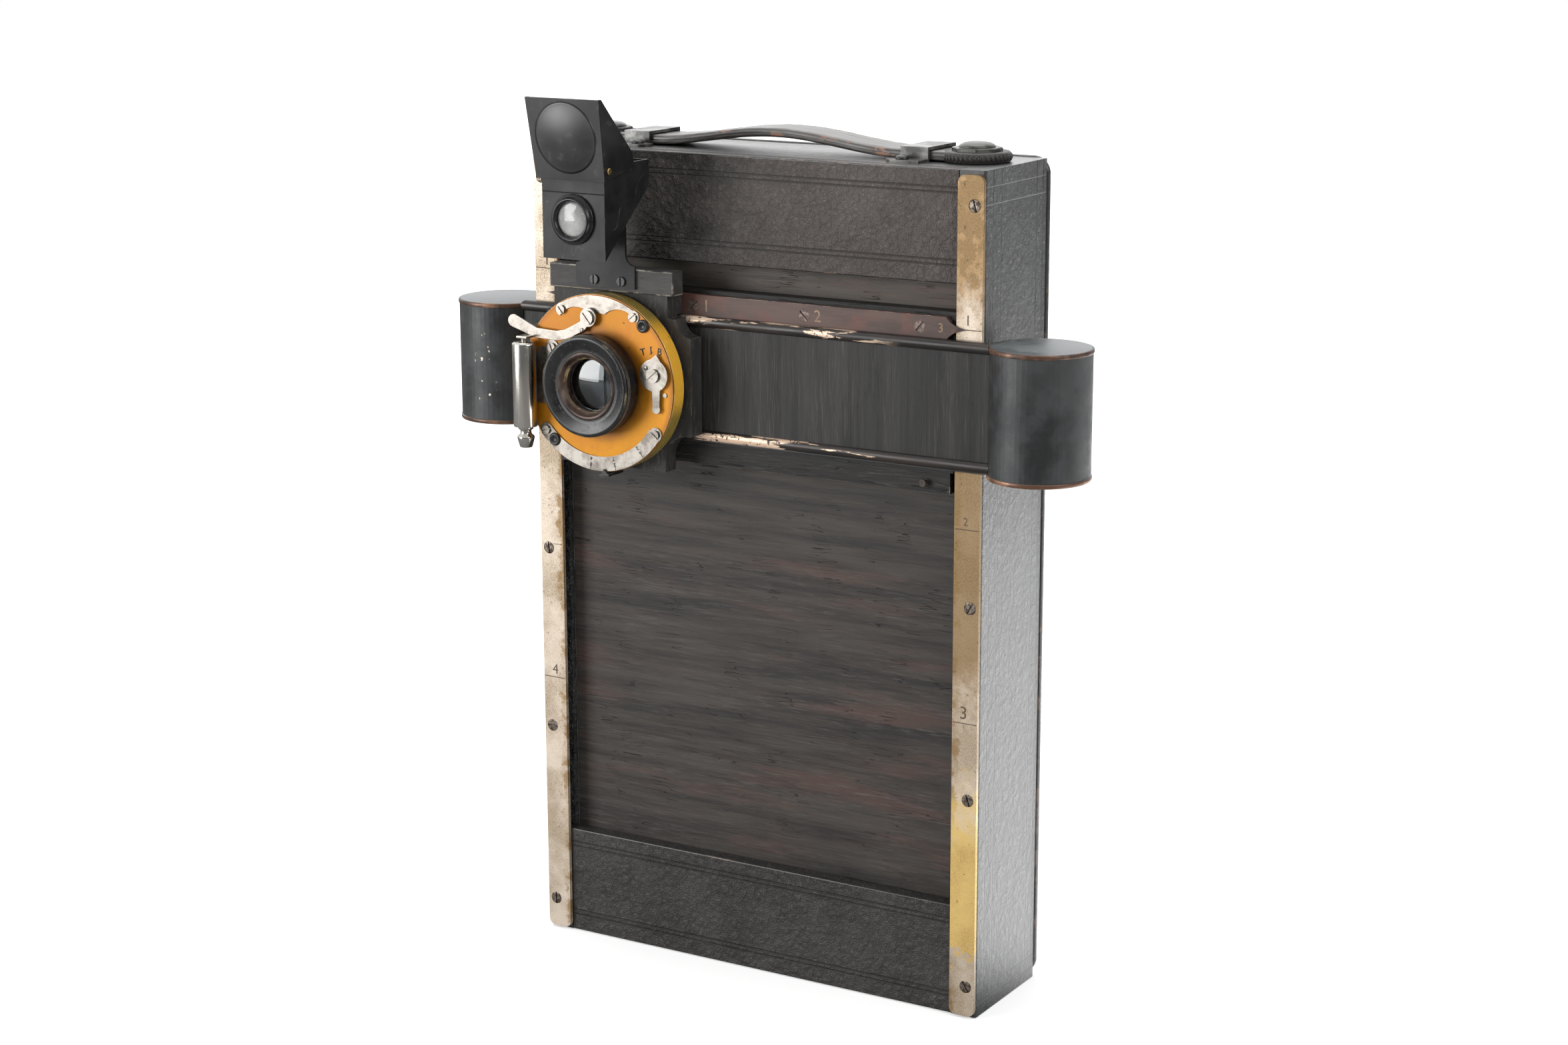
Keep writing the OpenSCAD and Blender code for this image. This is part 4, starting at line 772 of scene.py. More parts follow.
def slab(name, x0, x1, y0, y1, z0, z1, across, tall, surface):
    """A thin board cut into a grid of squares."""
    shape = bmesh.new()
    front, back = [[[shape.verts.new(((x0 + (x1 - x0) * i / across) * mm, (y + front_y) * mm,
                                      (z0 + (z1 - z0) * k / tall) * mm)) for i in range(across + 1)]
                    for k in range(tall + 1)] for y in (y0, y1)]
    for k in range(tall):
        for i in range(across):
            shape.faces.new([front[k][i], front[k][i + 1], front[k + 1][i + 1], front[k + 1][i]])
            shape.faces.new([back[k][i], back[k + 1][i], back[k + 1][i + 1], back[k][i + 1]])
    for i in range(across):
        shape.faces.new([front[0][i], back[0][i], back[0][i + 1], front[0][i + 1]])
        shape.faces.new([front[-1][i], front[-1][i + 1], back[-1][i + 1], back[-1][i]])
    for k in range(tall):
        shape.faces.new([front[k][0], front[k + 1][0], back[k + 1][0], back[k][0]])
        shape.faces.new([front[k][-1], back[k][-1], back[k + 1][-1], front[k + 1][-1]])
    bmesh.ops.recalc_face_normals(shape, faces=shape.faces)
    return shown(name, meshed(shape, name), surface)


blind_wood = slat_wood("Blind wood", "#2b2827", "#423d39", "#493a35", (0.06, 1.0, 1.0), 0.42,
                       scale=1100.0, hairline=0.008)
# The upper blind is the same wood as the lower one, given a lighter copy of its finish: painted light.
upper_blind_painted_lighter = slat_wood("Blind wood painted lighter", "#3b3632", "#57514b", "#554740", (0.06, 1.0, 1.0), 0.46,
                       scale=1100.0, hairline=0.008)
blind_sheet = (-83.1, 83.1, 6.0, 7.6)
low_blind = slab("lower_slats", *blind_sheet, 23.5, 196.4, 12, 60, blind_wood)
high_blind = slab("upper_slats", *blind_sheet, 241.7, 272.5, 12, 16, upper_blind_painted_lighter)
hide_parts("lower_blind")
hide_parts("upper_blind")
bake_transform(low_blind)
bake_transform(high_blind)

# The carriage slides up and down the case in the same grooves. Its frame and its lower cleat are ebonised
# hardwood with an oiled, slightly rubbed surface, and their corners have worn to a greyish brown.
ebony = slat_wood("Ebonised wood", "#191817", "#232120", "#282420", (0.06, 1.0, 1.0), 0.4, scale=900.0)
ebony_edge = worn_edge("Ebony edge", "#2c2a28", "#6f6457", 110.0, 0.53, Coat_Weight=0.1)
eased("carriage_wood", "carriage_frame", "carriage", "black_wood", 0.35, ebony, ebony_edge)
eased("cleat_wood", "lower_cleat", "carriage", "black_wood", 0.4, ebony, ebony_edge)
eased("band_sheet", "band_plate", "carriage", "black_metal", 0.15, japan, japan_edge)

# Two half-round brass mouldings edge the cross band and hold the cross blind in their rebates. Their black
# lacquer has chipped and worn away in long patches where fingers move the lens board.
moulding, sockets, place = finish("Worn moulding")
grain = pattern(place, "Long grain", Stretch=(0.07, 1.0, 1.0), Scale=420.0, Hairline=0.01)
parts = place.to("SeparateXYZ")
crown_y = -0.0285
crown = ramp(abs(parts["Y"] - crown_y), 0.0008, 0.0022, 1.0, 0.0)
long_way = stretched(place, 0.12, 1.0, 1.0)
where = rubbed_patches(long_way, 230.0, 0.53, 0.015) * rubbed_patches(place, 650.0, 0.4, 0.03)
side = ramp(parts["X"], -0.028, -0.02) * ramp(parts["X"], 0.045, 0.062, 1.0, 0.0)
bare = where * side * crown
dull = rubbed_patches(long_way, 210.0, 0.5, 0.12)
tone = mixed(dull * 0.5, "#1f1d1c", "#3d332e")
tone = mixed(bare, tone, mixed(grain["Fine"], "#b98a66", "#f7e6d0"))
paint(sockets, tone, ramp(grain["Fine"], 0.3, 0.7, 0.28, 0.46), grain["Fine"] * 0.4 - bare, 0.00008,
      metal=bare * 0.15 + 0.15)
moulding_edge = worn_edge("Moulding edge", "#2a2523", "#c2a28a", 90.0, 0.6, Metallic=0.5)
eased("mouldings", "band_mouldings", "carriage", "brown_metal", 0.12, moulding, moulding_edge, angle=40)

# The scale bar is a bronzed brass strip on four slotted screws. Its ends are drawn out to fine points that
# read on the rails, and the numbers of the lens places are engraved beside the screws.
bronze, sockets, place = finish("Scale bar bronze", Metallic=0.15, Specular_IOR_Level=0.4)
long_way = stretched(place, 0.2, 1.0, 1.0)
cloudy = noise(long_way, 120.0, 4.0, 0.6)
red = rubbed_patches(place, 55.0, 0.56, 0.06)
tone = mixed(ramp(cloudy, 0.35, 0.65), "#43342f", "#5c4a45")
tone = mixed(red * 0.5, tone, "#6b4338")
tips = ramp(abs(place.to("SeparateXYZ")["X"]), 0.0795, 0.082)
paint(sockets, mixed(tips, tone, "#2a2421"), ramp(cloudy, 0.3, 0.7, 0.42, 0.56), cloudy, 0.00004)
bronze_edge = worn_edge("Bronze edge", "#5f4a43", "#b9a193", 140.0, 0.52, Metallic=0.5)
eased("scale", "scale_bar", "carriage", "bronze", 0.3, bronze, bronze_edge)
bronze_screw, sockets, place = finish("Bronzed screws", Metallic=0.4)
rust = rubbed_patches(place, 900.0, 0.5, 0.1)
low = ramp(place.to("SeparateXYZ")["Z"], 0.2, 0.22, 1.0, 0.0)
paint(sockets, mixed(low, mixed(rust, "#6f605a", "#54453f"), "#3d3430"), ramp(rust, 0.0, 1.0, 0.3, 0.5), rust,
      0.00003)
eased("scale_screws", "band_screws", "carriage", "steel", 0.08, bronze_screw)
bright_cut = two_tone("Bright cut lines", (noise, 700.0, 3.0), "#5a473c", "#947d62",
                      Metallic=0.6, Roughness=0.4)
figures = [lettered(str(i + 1), high, x, -2.32, 242.3)
           for i, x, high in zip(range(3), [-17.0, 27.7, 75.0], [4.4, 4.2, 3.2])]
placed(gathered("scale_figures", figures, bright_cut), "carriage", "bronze")

# The cross blind runs sideways behind the lens board and winds onto a spool in each drum. It is black cloth
# faced with narrow upright slats, and it has been scraped along the grain by the mouldings.
band_wood = slat_wood("Cross blind", "#222121", "#302f2e", "#32302e", (1.0, 1.0, 0.03), 0.38, scale=1500.0,
                      hairline=0.006, cracks=0.3)
drum_x, band_sheet = 108.24, (-3.7, -2.7, 197.93, 235.98)
left_band = slab("left_band", -drum_x, -70.63, *band_sheet, 16, 4, band_wood)
right_band = slab("right_band", -30.43, drum_x, *band_sheet, 48, 4, band_wood)
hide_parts("left_blind")
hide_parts("right_blind")
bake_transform(left_band)
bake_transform(right_band)

# A drum of thin tinned sheet, japanned black, stands at each end of the band and hides the spool. Its
# soldered lid has a turned-down rim that has worn to copper brown, and the paint is dull and chipped.
given, gives = pattern_group("Chips", [("Vector", (0, 0, 0)), ("Scale", 300.0), ("Size", 0.25),
                                       ("Rarity", 0.9)], ["Mask"])
cells = given["Vector"].to("TexVoronoi", Scale=given["Scale"])
size = given["Size"] * (noise(given["Vector"], given["Scale"] * 3.0) + 0.5)
some = cells["Color"].to("SeparateXYZ")[0].step("GREATER_THAN", given["Rarity"])
feed(gives["Mask"], some * cells["Distance"].step("LESS_THAN", size))
drum_paint, sockets, place = finish("Drum japan", Coat_Weight=0.1, Coat_Roughness=0.4)
cloudy = noise(place, 48.0, 5.0, 0.62)
smear = rubbed_patches(place, 90.0, 0.55, 0.12)
chip = pattern(place, "Chips", Scale=700.0, Size=0.32, Rarity=0.62)["Mask"]
struck = place.to("VectorMath", (-0.1065, -0.0356, 0.2125), operation="SUBTRACT")[0]
struck = length(stretched(struck, 1.6, 1.0, 0.5))
chip = chip * (ramp(struck, 0.004, 0.0085, 1.0, 0.0) * ramp(noise(place, 260.0), 0.5, 0.52))
tone = mixed(ramp(cloudy, 0.38, 0.62), "#1d1e1f", "#313232")
tone = mixed(smear * 0.35, tone, "#353c3f")
tone = mixed(chip, tone, "#d9cdbb")
paint(sockets, tone, ramp(smear, 0.0, 1.0, 0.4, 0.56), cloudy - chip, 0.00025, metal=chip * 0.4)
lid_rim, sockets, place = finish("Drum rim", Metallic=0.35)
patch = rubbed_patches(place, 45.0, 0.46, 0.12)
bright = rubbed_patches(place, 110.0, 0.55, 0.1)
tone = mixed(patch, "#2f2623", "#614434")
paint(sockets, mixed(bright * patch, tone, "#957058"), ramp(patch, 0.0, 1.0, 0.45, 0.34), patch, 0.00005)
lid_top, sockets, place = finish("Drum lid", Metallic=0.25, Coat_Weight=0.3, Coat_Roughness=0.35)
cloudy = noise(place, 60.0, 5.0, 0.65)
scratch = pattern(place, "Long grain", Stretch=(1.0, 0.08, 1.0), Scale=520.0, Hairline=0.012)["Hair"]
tone = mixed(ramp(cloudy, 0.35, 0.65), "#3a3d3f", "#6c7173")
paint(sockets, mixed(scratch * 0.6, tone, "#9a9d9e"), ramp(cloudy, 0.35, 0.65, 0.4, 0.55), cloudy, 0.00005)
eased("drum_walls", "drums", "carriage", "black_metal", 0.0, drum_paint)
lids, drum_y, rim_from = [], 5.48, 8.45
for side in (-1, 1):
    for low, high, upright in ((193.45, 195.03, False), (236.25, 237.8, True)):
        outline = [(0, high), (16.9, high), (17.35, high - 0.12), (17.52, high - 0.45), (17.52, high - 1.25),
                   (17.4, low), (0, low)]
        lid = turned("lid", outline if upright else [(r, low + high - z) for r, z in outline], steps=128)
        for face in lid.polygons:
            outer = math.hypot(face.center.x, face.center.y) > rim_from * mm
            face.material_index = int(outer and abs(face.normal.z) < 0.97)
        lid.transform(Matrix.Translation((side * drum_x * mm, (drum_y + front_y) * mm, 0)))
        lids.append(lid)
placed(gathered("drum_lids", lids, lid_top, lid_rim), "carriage", "brown_metal", "drum_caps")

# The lens board slides on the band and carries the shutter. It and the cleat above it are cut from ebonised
# hardwood, with hollowed shoulders, and every corner has been handled until it shines grey.
board_edge = worn_edge("Board edge", "#2c2b2a", "#8a8377", 120.0, 0.53, Coat_Weight=0.3)
board_wood = slat_wood("Lens board wood", "#282827", "#343332", "#363432", (1.0, 1.0, 0.3), 0.4, scale=400.0,
                       hairline=0.003, cracks=0.2)
eased("board", "lens_board", "lens", "black_wood", 0.45, board_wood, board_edge)
cleat_wood = slat_wood("Cleat wood", "#333231", "#413f3d", "#43403e", (0.2, 1.0, 1.0), 0.4, scale=500.0,
                       hairline=0.004, cracks=0.4)
eased("cleat", "top_cleat", "lens", "black_wood", 0.45, cleat_wood, board_edge)

# The shutter is a round brass box. Its turned side is bright brass under a gold lacquer, with dark tarnish
# specks, painted bright gold where it faces right as a painted highlight and olive elsewhere as a painted dark
# reflection. Its face is lacquered a flat orange yellow, painted darker near the lens ring and toward the upper
# left as painted shade, and edged by a bright line where the two meet.
lens_x, lens_z = -50.533, 215.133
gold_side, sockets, place = finish("Shutter side", Metallic=0.3, Coat_Weight=0.6, Coat_Roughness=0.14)
brushed = noise(stretched(place, 0.25, 5.0, 0.25), 300.0, 3.0)
spots = rubbed_patches(place, 480.0, 0.66, 0.02)
centred = place.to("Mapping", Location=(-lens_x * mm, 0.0, -lens_z * mm))[0]
round_way = stretched(centred, 1.0, 0.0, 1.0).to("VectorMath", operation="NORMALIZE")[0]
# Painted highlight and dark reflection: bright gold where the side faces right, olive where it faces away.
olive = (brushed - 0.5) * 0.3 + ramp(run_along(round_way, 0.96, 0.0, 0.28), 0.8, 0.95, 1.0, 0.0)
tone = mixed(olive, "#ffc040", "#96813c")
paint(sockets, mixed(spots * 0.6, tone, "#3d3018"), ramp(brushed, 0.3, 0.7, 0.2, 0.34), brushed, 0.00001)
gold_face, sockets, place = finish("Shutter face", Metallic=0.35, Coat_Weight=0.12, Coat_Roughness=0.25,
                                   Specular_IOR_Level=0.3)
centred = place.to("Mapping", Location=(-lens_x * mm, 0.0, -lens_z * mm))[0]
out = length(stretched(centred, 1.0, 0.0, 1.0))
cloudy = noise(centred, 70.0, 4.0, 0.6)
fly = pattern(centred, "Chips", Scale=520.0, Size=0.2, Rarity=0.975)["Mask"]
rub = rubbed_patches(centred, 60.0, 0.57, 0.05)
shade = run_along(centred, -0.6, 0.0, 0.8)
tone = mixed(ramp(cloudy, 0.36, 0.64), "#b3730a", "#c48413")
# Painted shade: the face darkens toward the upper left.
tone = mixed(ramp(shade, -0.012, 0.03, 0.0, 0.55), tone, "#9c5d12")
tone = mixed(rub * 0.35, tone, "#a8601f")
# Painted shadow: the face darkens to brown close round the lens ring.
tone = mixed(ramp(out, 0.0165, 0.0225, 0.85, 0.0), tone, "#5a3413")
tone = mixed(ramp(out, 0.0292, 0.0314, 0.0, 0.7), tone, "#8a5422")
tone = mixed(fly * 0.7, tone, "#4d2f16")
paint(sockets, tone, ramp(cloudy, 0.35, 0.65, 0.36, 0.48), cloudy * 0.3 - fly, 0.00003)
rim_bright = worn_edge("Shutter rim", "#b9852e", "#f3dba0", 70.0, 0.44, Metallic=1.0)
eased("shutter_box", "shutter_case", "lens", "lacquered_brass", 0.2, gold_side, rim_bright, angle=40)
eased("shutter_plate", "shutter_face", "lens", "lacquered_brass", 0.25, gold_face, rim_bright, angle=40)
eased("flange", "shutter_flange", "lens", "black_metal", 0.15, japan, japan_edge)

# The furniture of the face is nickelled brass filed to shape and screwed on: the guard along the upper rim,
# the scale of the openings below, the release lever, the selector, and the arm that holds the air cylinder.
nickel, sockets, place = finish("Worn nickel", Metallic=0.95, Coat_Weight=0.0)
cloudy = noise(place, 160.0, 5.0, 0.65)
tarnish = rubbed_patches(place, 240.0, 0.58, 0.06)
pits = rubbed_patches(place, 1500.0, 0.67, 0.02)
tone = mixed(ramp(cloudy, 0.36, 0.64), "#857f78", "#ada79f")
tone = mixed(tarnish * 0.45, tone, "#5f574d")
paint(sockets, mixed(pits * 0.6, tone, "#463f36"), ramp(cloudy, 0.35, 0.65, 0.26, 0.42), cloudy * 0.3 - pits,
      0.00002)
nickel_edge = worn_edge("Nickel edge", "#d8d2c8", "#b0946a", 120.0, 0.62, Metallic=1.0)
for name, node, body in [("guard", "top_crescent", "lens"), ("openings_scale", "aperture_scale", "lens"),
                         ("cylinder_arm", "cylinder_bracket", "lens"), ("lever", "release_lever", "lever"),
                         ("mode_pointer", "selector", "mode_selector")]:
    eased(name, node, body, "nickel", 0.16, nickel, nickel_edge, angle=40)
eased("nickel_screws", "face_screws", "lens", "nickel", 0.1, nickel, nickel_edge, angle=40)
eased("stand_screws", "black_screws", "lens", "black_metal", 0.12, japan, japan_edge, angle=40,
      keep=lambda p: p.z > (lens_z + 32.0) * mm)
eased("iris_ring", "aperture_pointer", "iris", "black_metal", 0.15, japan, board_edge, angle=40)


def at_lens(across, depth, up):
    """A point beside the lens axis, in metres, its depth measured from the case's front face."""
    return Vector((lens_x + across, depth + front_y, lens_z + up)) * mm


def faced(mesh, across=0, depth=0, up=0):
    """Lays a shape that was turned about Z so that it looks forward from a point of the shutter."""
    mesh.transform(Matrix.Translation(at_lens(across, depth, up)) @ Matrix.Rotation(math.pi / 2, 4, "X"))
    return mesh


stop_outline = [(0, 20.7), (2.2, 20.7), (2.3, 20.85), (2.3, 21.5), (2.15, 21.85), (1.75, 22.05), (1.3, 21.95),
                (1.0, 21.55), (0.5, 21.35), (0, 21.3)]
stops = [faced(turned("stop", stop_outline, steps=40), across, 0, up)
         for across, up in [(19.6, 21.8), (-18.3, -21.7)]]
placed(gathered("black_stops", stops, japan), "lens", "black_metal")

# Small domed rivets stand on the lever and the selector, and the three letters of the shutter's ways of
# working, the openings and their marks are cut in and filled with black wax.
rivet_tree, given, gives = build_tree("Domed rivets", [("Rivet", "Object", None),
                                                       ("Finish", "Material", None)])
rivet = knot(rivet_tree, "GeometryNodeObjectInfo", Object=given["Rivet"])["Geometry"]
planted(given, gives, rivet, facing=(math.pi / 2, 0.0, 0.0), smooth=True)
small_rivet = shown("small_rivet", turned("small", [(0, -0.1), (0.85, -0.1), (0.85, 0.12), (0.7, 0.32),
                                                    (0.4, 0.44), (0, 0.48)], steps=24))
for name, body, u, y, v in [("lever_rivet", "lever", -4.6, -23.0, 18.6),
                            ("selector_rivet", "mode_selector", 21.4, -22.3, 7.6)]:
    rivet = grown(name, rivet_tree, dots([(lens_x + u, y, lens_z + v)]), Rivet=small_rivet, Finish=nickel)
    placed(rivet, body, "nickel")
wax = two_tone("Black wax", (noise, 1200.0, 3.0), "#140f0b", "#35271a", Roughness=0.55)


def box(centre, sizes, turn=0.0, bevel=0.0):
    """A box about a point in metres, its sizes in millimetres, turned about the way it looks."""
    shape = bmesh.new()
    bmesh.ops.create_cube(shape, size=1.0)
    if bevel:
        bmesh.ops.bevel(shape, geom=shape.edges[:], offset=bevel, segments=1, affect="EDGES")
    mesh = meshed(shape, "box")
    mesh.transform(Matrix.Translation(centre) @ Matrix.Rotation(math.radians(turn), 4, "Y")
                   @ Matrix.Diagonal((*[size * mm for size in sizes], 1)))
    return mesh


letters = [lettered(w, 2.5, lens_x + u, -20.84, lens_z + v, turn, 0.03)
           for w, u, v, turn in [("T", 19.3, 12.6, -16), ("I", 22.6, 13.5, -6), ("B", 26.1, 13.2, 6)]]
letters += [box(at_lens(u, -20.84, v), (1.1, 0.02, 0.25), -6) for u, v in [(22.5, 12.3), (22.7, 14.7)]]
placed(gathered("way_letters", letters, wax), "lens", "black_metal")
openings = []
for u, v, first, second in [(-3.0, -28.9, "4", "8"), (7.0, -28.2, "T", "2"), (19.0, -24.4, "2", "6")]:
    way = Vector((u, v)).normalized()
    turn = math.degrees(math.atan2(u, v))
    for word, radius in ((first, 27.1), (second, 29.2)):
        openings.append(lettered(word, 1.35, lens_x + way.x * radius, -21.34, lens_z + way.y * radius,
                                 math.degrees(math.atan2(-u, -v)) + 180, 0.03))
    openings.append(box(at_lens(way.x * 30.4, -21.31, way.y * 30.4), (0.26, 0.05, 1.5), turn))
placed(gathered("opening_figures", openings, wax), "lens", "black_metal")

# The lens sits in a black ring with a band of fine knurling to turn it by. Inside it are a brown lacquered
# bezel, worn to the brass on its lip, and a clear front glass over the dark of the shutter.
ring_black, sockets, place = finish("Ring black", Coat_Weight=0.15, Coat_Roughness=0.2,
                                    Specular_IOR_Level=0.35)
cloudy = noise(place, 85.0, 5.0, 0.6)
dusty = rubbed_patches(place, 950.0, 0.63, 0.03)
tone = mixed(ramp(cloudy, 0.38, 0.62), "#0f0f10", "#1c1c1d")
paint(sockets, mixed(dusty * 0.35, tone, "#4a4947"), ramp(cloudy, 0.35, 0.65, 0.22, 0.36), cloudy + dusty,
      0.00002)
ring_edge = worn_edge("Ring edge", "#343434", "#8f8468", 110.0, 0.6, Metallic=0.6)


def lipped(name, profile, steps, low, high, surface, lip):
    """A ring turned to a profile and laid on the lens axis, with a worn lip between two heights."""
    mesh = turned(name, profile, steps)
    for face in mesh.polygons:
        face.material_index = int(low * mm < face.center.z < high * mm)
    faced(mesh).set_sharp_from_angle(angle=math.radians(38))
    return shown(name, mesh, surface, lip)


placed(lipped("lens_barrel", [
    (12.05, 20.2), (14.8, 20.2), (14.8, 20.8), (16.9, 20.8), (16.9, 21.4), (17.4, 21.4), (17.5, 21.5),
    (17.5, 23.7), (17.8, 23.7), (17.9, 23.8), (17.9, 26.2), (17.6, 26.35), (17.6, 28.15), (17.9, 28.3),
    (17.9, 28.75), (17.78, 29.0), (17.3, 29.4), (17.0, 29.5), (16.3, 29.5), (13.3, 27.95), (13.1, 27.9),
    (12.05, 27.9)],
    160, 28.95, 29.45, ring_black, ring_edge), "lens", "black_metal", "lens_ring")
knurl_tree, given, gives = build_tree("Knurled band", [("Ridges", "Int", 190), ("Radius", "Float", 0.0177),
                                                       ("Width", "Float", 0.0018), ("Ridge", "Float", 0.0002),
                                                       ("Finish", "Material", None)])
ring, turn = round_ring(knurl_tree, given["Ridges"], given["Radius"])
tooth = knot(knurl_tree, "GeometryNodeMeshCone", Vertices=4, Side_Segments=1, Radius_Top=given["Ridge"],
             Radius_Bottom=given["Ridge"], Depth=given["Width"])[0]
planted(given, gives, tooth, points=ring, facing=turn)
knurl_metal = two_tone("Knurl", (noise, 300.0, 3.0), "#3d3d3c", "#9a958b", (0.3, 0.7, 0.35, 0.55), 0.00002,
                       Metallic=0.7)
knurl = grown("lens_knurl", knurl_tree, Ridges=190, Radius=17.62 * mm, Width=1.7 * mm, Ridge=0.24 * mm,
              Finish=knurl_metal)
knurl.data.transform(Matrix.Translation((0, 0, 26.45 * mm)))
faced(knurl.data)
placed(knurl, "lens", "black_metal")

bezel_brown, sockets, place = finish("Brown bezel", Metallic=0.4, Coat_Weight=0.3, Coat_Roughness=0.3)
cloudy = noise(place, 220.0, 4.0, 0.6)
bare = rubbed_patches(place, 170.0, 0.6, 0.05)
tone = mixed(ramp(cloudy, 0.36, 0.64), "#352925", "#54433c")
paint(sockets, mixed(bare * 0.6, tone, "#7d695c"), ramp(cloudy, 0.35, 0.65, 0.32, 0.48), cloudy, 0.00003)
bezel_inner = worn_edge("Bezel lip", "#5b4a3c", "#a58f68", 140.0, 0.52, Metallic=0.6)
placed(lipped("bezel", [
    (9.4, 20.2), (12.0, 20.2), (12.0, 27.75), (11.85, 28.05), (11.3, 28.3), (10.9, 28.15), (10.6, 27.6),
    (10.2, 26.9), (10.0, 26.5), (9.75, 26.3), (9.4, 26.0), (9.4, 24.6), (10.2, 24.6), (10.2, 22.2),
    (9.4, 22.2)],
    128, 25.9, 26.8, bezel_brown, bezel_inner), "lens", "brown_metal", "lens_bezel")

clear = two_tone("Lens glass", (noise, 160.0, 4.0), "#eef2f2", "#dfe6e6", (0.4, 0.75, 0.0, 0.05),
                 Transmission_Weight=1.0, IOR=1.52, Coat_Weight=0.0)


def meniscus(radius, edge, rise, back):
    """A lens about Z, domed in front by its rise, and domed behind too or hollowed where back is negative."""
    outline = [(radius * k / 8, -back * (1 - (k / 8) ** 2)) for k in range(1, 8)]
    outline = [(0, -back), *outline, (radius, 0)]
    outline += [(radius * (1 - (k / 12)), edge + rise * (1 - (1 - k / 12) ** 2)) for k in range(0, 12)]
    return turned("glass", outline + [(0, edge + rise)])


front_glass = faced(meniscus(10.1, 0.7, 1.4, -1.1), 0, -22.4, 0)
rear_glass = meniscus(11.9, 0.8, 1.6, 0.0)
rear_glass.transform(Matrix.Translation(at_lens(0, -11.4, 0)) @ Matrix.Rotation(-math.pi / 2, 4, "X"))
placed(gathered("lens_glass", [front_glass, rear_glass], clear), "lens", "glass", "lens_glasses")

# The blades that open and close the light are thin blued steel sectors on one pin, with a fine grain along
# their length from the emery.
blued, sockets, place = finish("Blued steel", Metallic=0.8)
brushed = pattern(place, "Long grain", Stretch=(1.0, 1.0, 0.1), Scale=900.0, Hairline=0.01)
paint(sockets, mixed(brushed["Fine"], "#202226", "#3b3e44"), ramp(brushed["Streak"], 0.3, 0.7, 0.35, 0.5),
      brushed["Fine"], 0.00001)
eased("blade_left_sheet", "left_blade", "blade_left", "blued_steel", 0.0, blued)
eased("blade_right_sheet", "right_blade", "blade_right", "blued_steel", 0.0, blued)

# The air cylinder is a drawn nickel tube with spun-in ends. A bulb's air lifts the piston in it, whose rod
# pushes the lever, and the bulb's hose goes on the barbed nozzle below.
tube_nickel, sockets, place = finish("Drawn nickel tube", Metallic=1.0)
drawn = pattern(place, "Long grain", Stretch=(1.0, 1.0, 0.08), Scale=800.0, Hairline=0.008)
specks = rubbed_patches(place, 900.0, 0.66, 0.02)
tone = mixed(ramp(drawn["Streak"], 0.36, 0.64), "#c2bdb5", "#dad6cf")
paint(sockets, mixed(specks * 0.5, tone, "#6b6259"), ramp(drawn["Fine"], 0.3, 0.7, 0.14, 0.26),
      drawn["Fine"] * 0.4 - specks, 0.000012)
cylinder_mesh = turned("cylinder", [
    (1.65, 0.0), (3.7, 0.0), (4.15, 0.15), (4.3, 0.6), (4.3, 29.5), (4.2, 29.95), (3.9, 30.25), (3.4, 30.4),
    (1.06, 30.4), (1.06, 28.4), (3.5, 28.4), (3.5, 1.0), (1.65, 1.0)])
nozzle_mesh = turned("nozzle", [
    (0.9, 1.0), (1.6, 1.0), (1.6, 0.0), (2.5, 0.0), (2.7, -0.15), (2.7, -0.75), (2.55, -0.95), (2.0, -1.3),
    (1.95, -1.9), (2.1, -2.6), (3.0, -3.4), (3.1, -3.65), (3.08, -4.2), (2.9, -4.9), (2.3, -7.15), (2.1, -7.4),
    (0.9, -7.4)], steps=64)
cylinder_foot = at_lens(-27.8, -25.6, -17.3)
for name, mesh, node in (("cylinder", cylinder_mesh, "air_cylinder"), ("nozzle", nozzle_mesh, "hose_nozzle")):
    mesh.transform(Matrix.Translation(cylinder_foot))
    mesh.set_sharp_from_angle(angle=math.radians(45))
    placed(shown(name, mesh, tube_nickel), "lens", "nickel", node)
steel, sockets, place = finish("Dull steel", Metallic=0.9)
brushed = pattern(place, "Long grain", Stretch=(1.0, 1.0, 0.1), Scale=700.0, Hairline=0.01)
paint(sockets, mixed(brushed["Fine"], "#8b8780", "#b4afa6"), ramp(brushed["Fine"], 0.3, 0.7, 0.3, 0.45),
      brushed["Fine"], 0.00001)
eased("piston_rod", "piston", "air_piston", "steel", 0.15, steel, angle=40)

# The finder is a folded sheet box in dull black paint with a round lens in front, a mirror leaning inside it
# and a glass in its top. A seam crosses its front, and it stands on a sheet bracket screwed to the cleat.
finder_paint, sockets, place = finish("Finder paint", Specular_IOR_Level=0.35)
cloudy = noise(place, 70.0, 5.0, 0.6)
fine = noise(place, 2200.0, 2.0)
speck = pattern(place, "Chips", Scale=700.0, Size=0.16, Rarity=0.985)["Mask"]
scratch = pattern(place, "Long grain", Stretch=(1.0, 0.2, 0.35), Scale=300.0, Hairline=0.005)["Hair"]
parts = place.to("SeparateXYZ")
seam = pattern(parts["Z"], "Tooled lines", First=0.283, Width=0.00022)["Groove"]
seam = seam * ramp(parts["Y"], -0.0575, -0.0570, 1.0, 0.0)
tone = mixed(ramp(cloudy, 0.38, 0.62), "#131314", "#1e1e1f")
tone = mixed(speck * 0.5, tone, "#8d8a86")
tone = mixed(scratch * 0.3, tone, "#6c6b6a")
paint(sockets, mixed(seam, tone, "#0e0e0e"), ramp(cloudy, 0.35, 0.65, 0.42, 0.55), fine * 0.15 - seam,
      0.00012)
finder_edge = worn_edge("Finder edge", "#2a2a2a", "#7d7972", 140.0, 0.57, Coat_Weight=0.2)
eased("finder_box", "finder_body", "lens", "black_metal", 0.22, finder_paint, finder_edge)
eased("finder_stand", "finder_bracket", "lens", "black_metal", 0.18, finder_paint, finder_edge, angle=40)
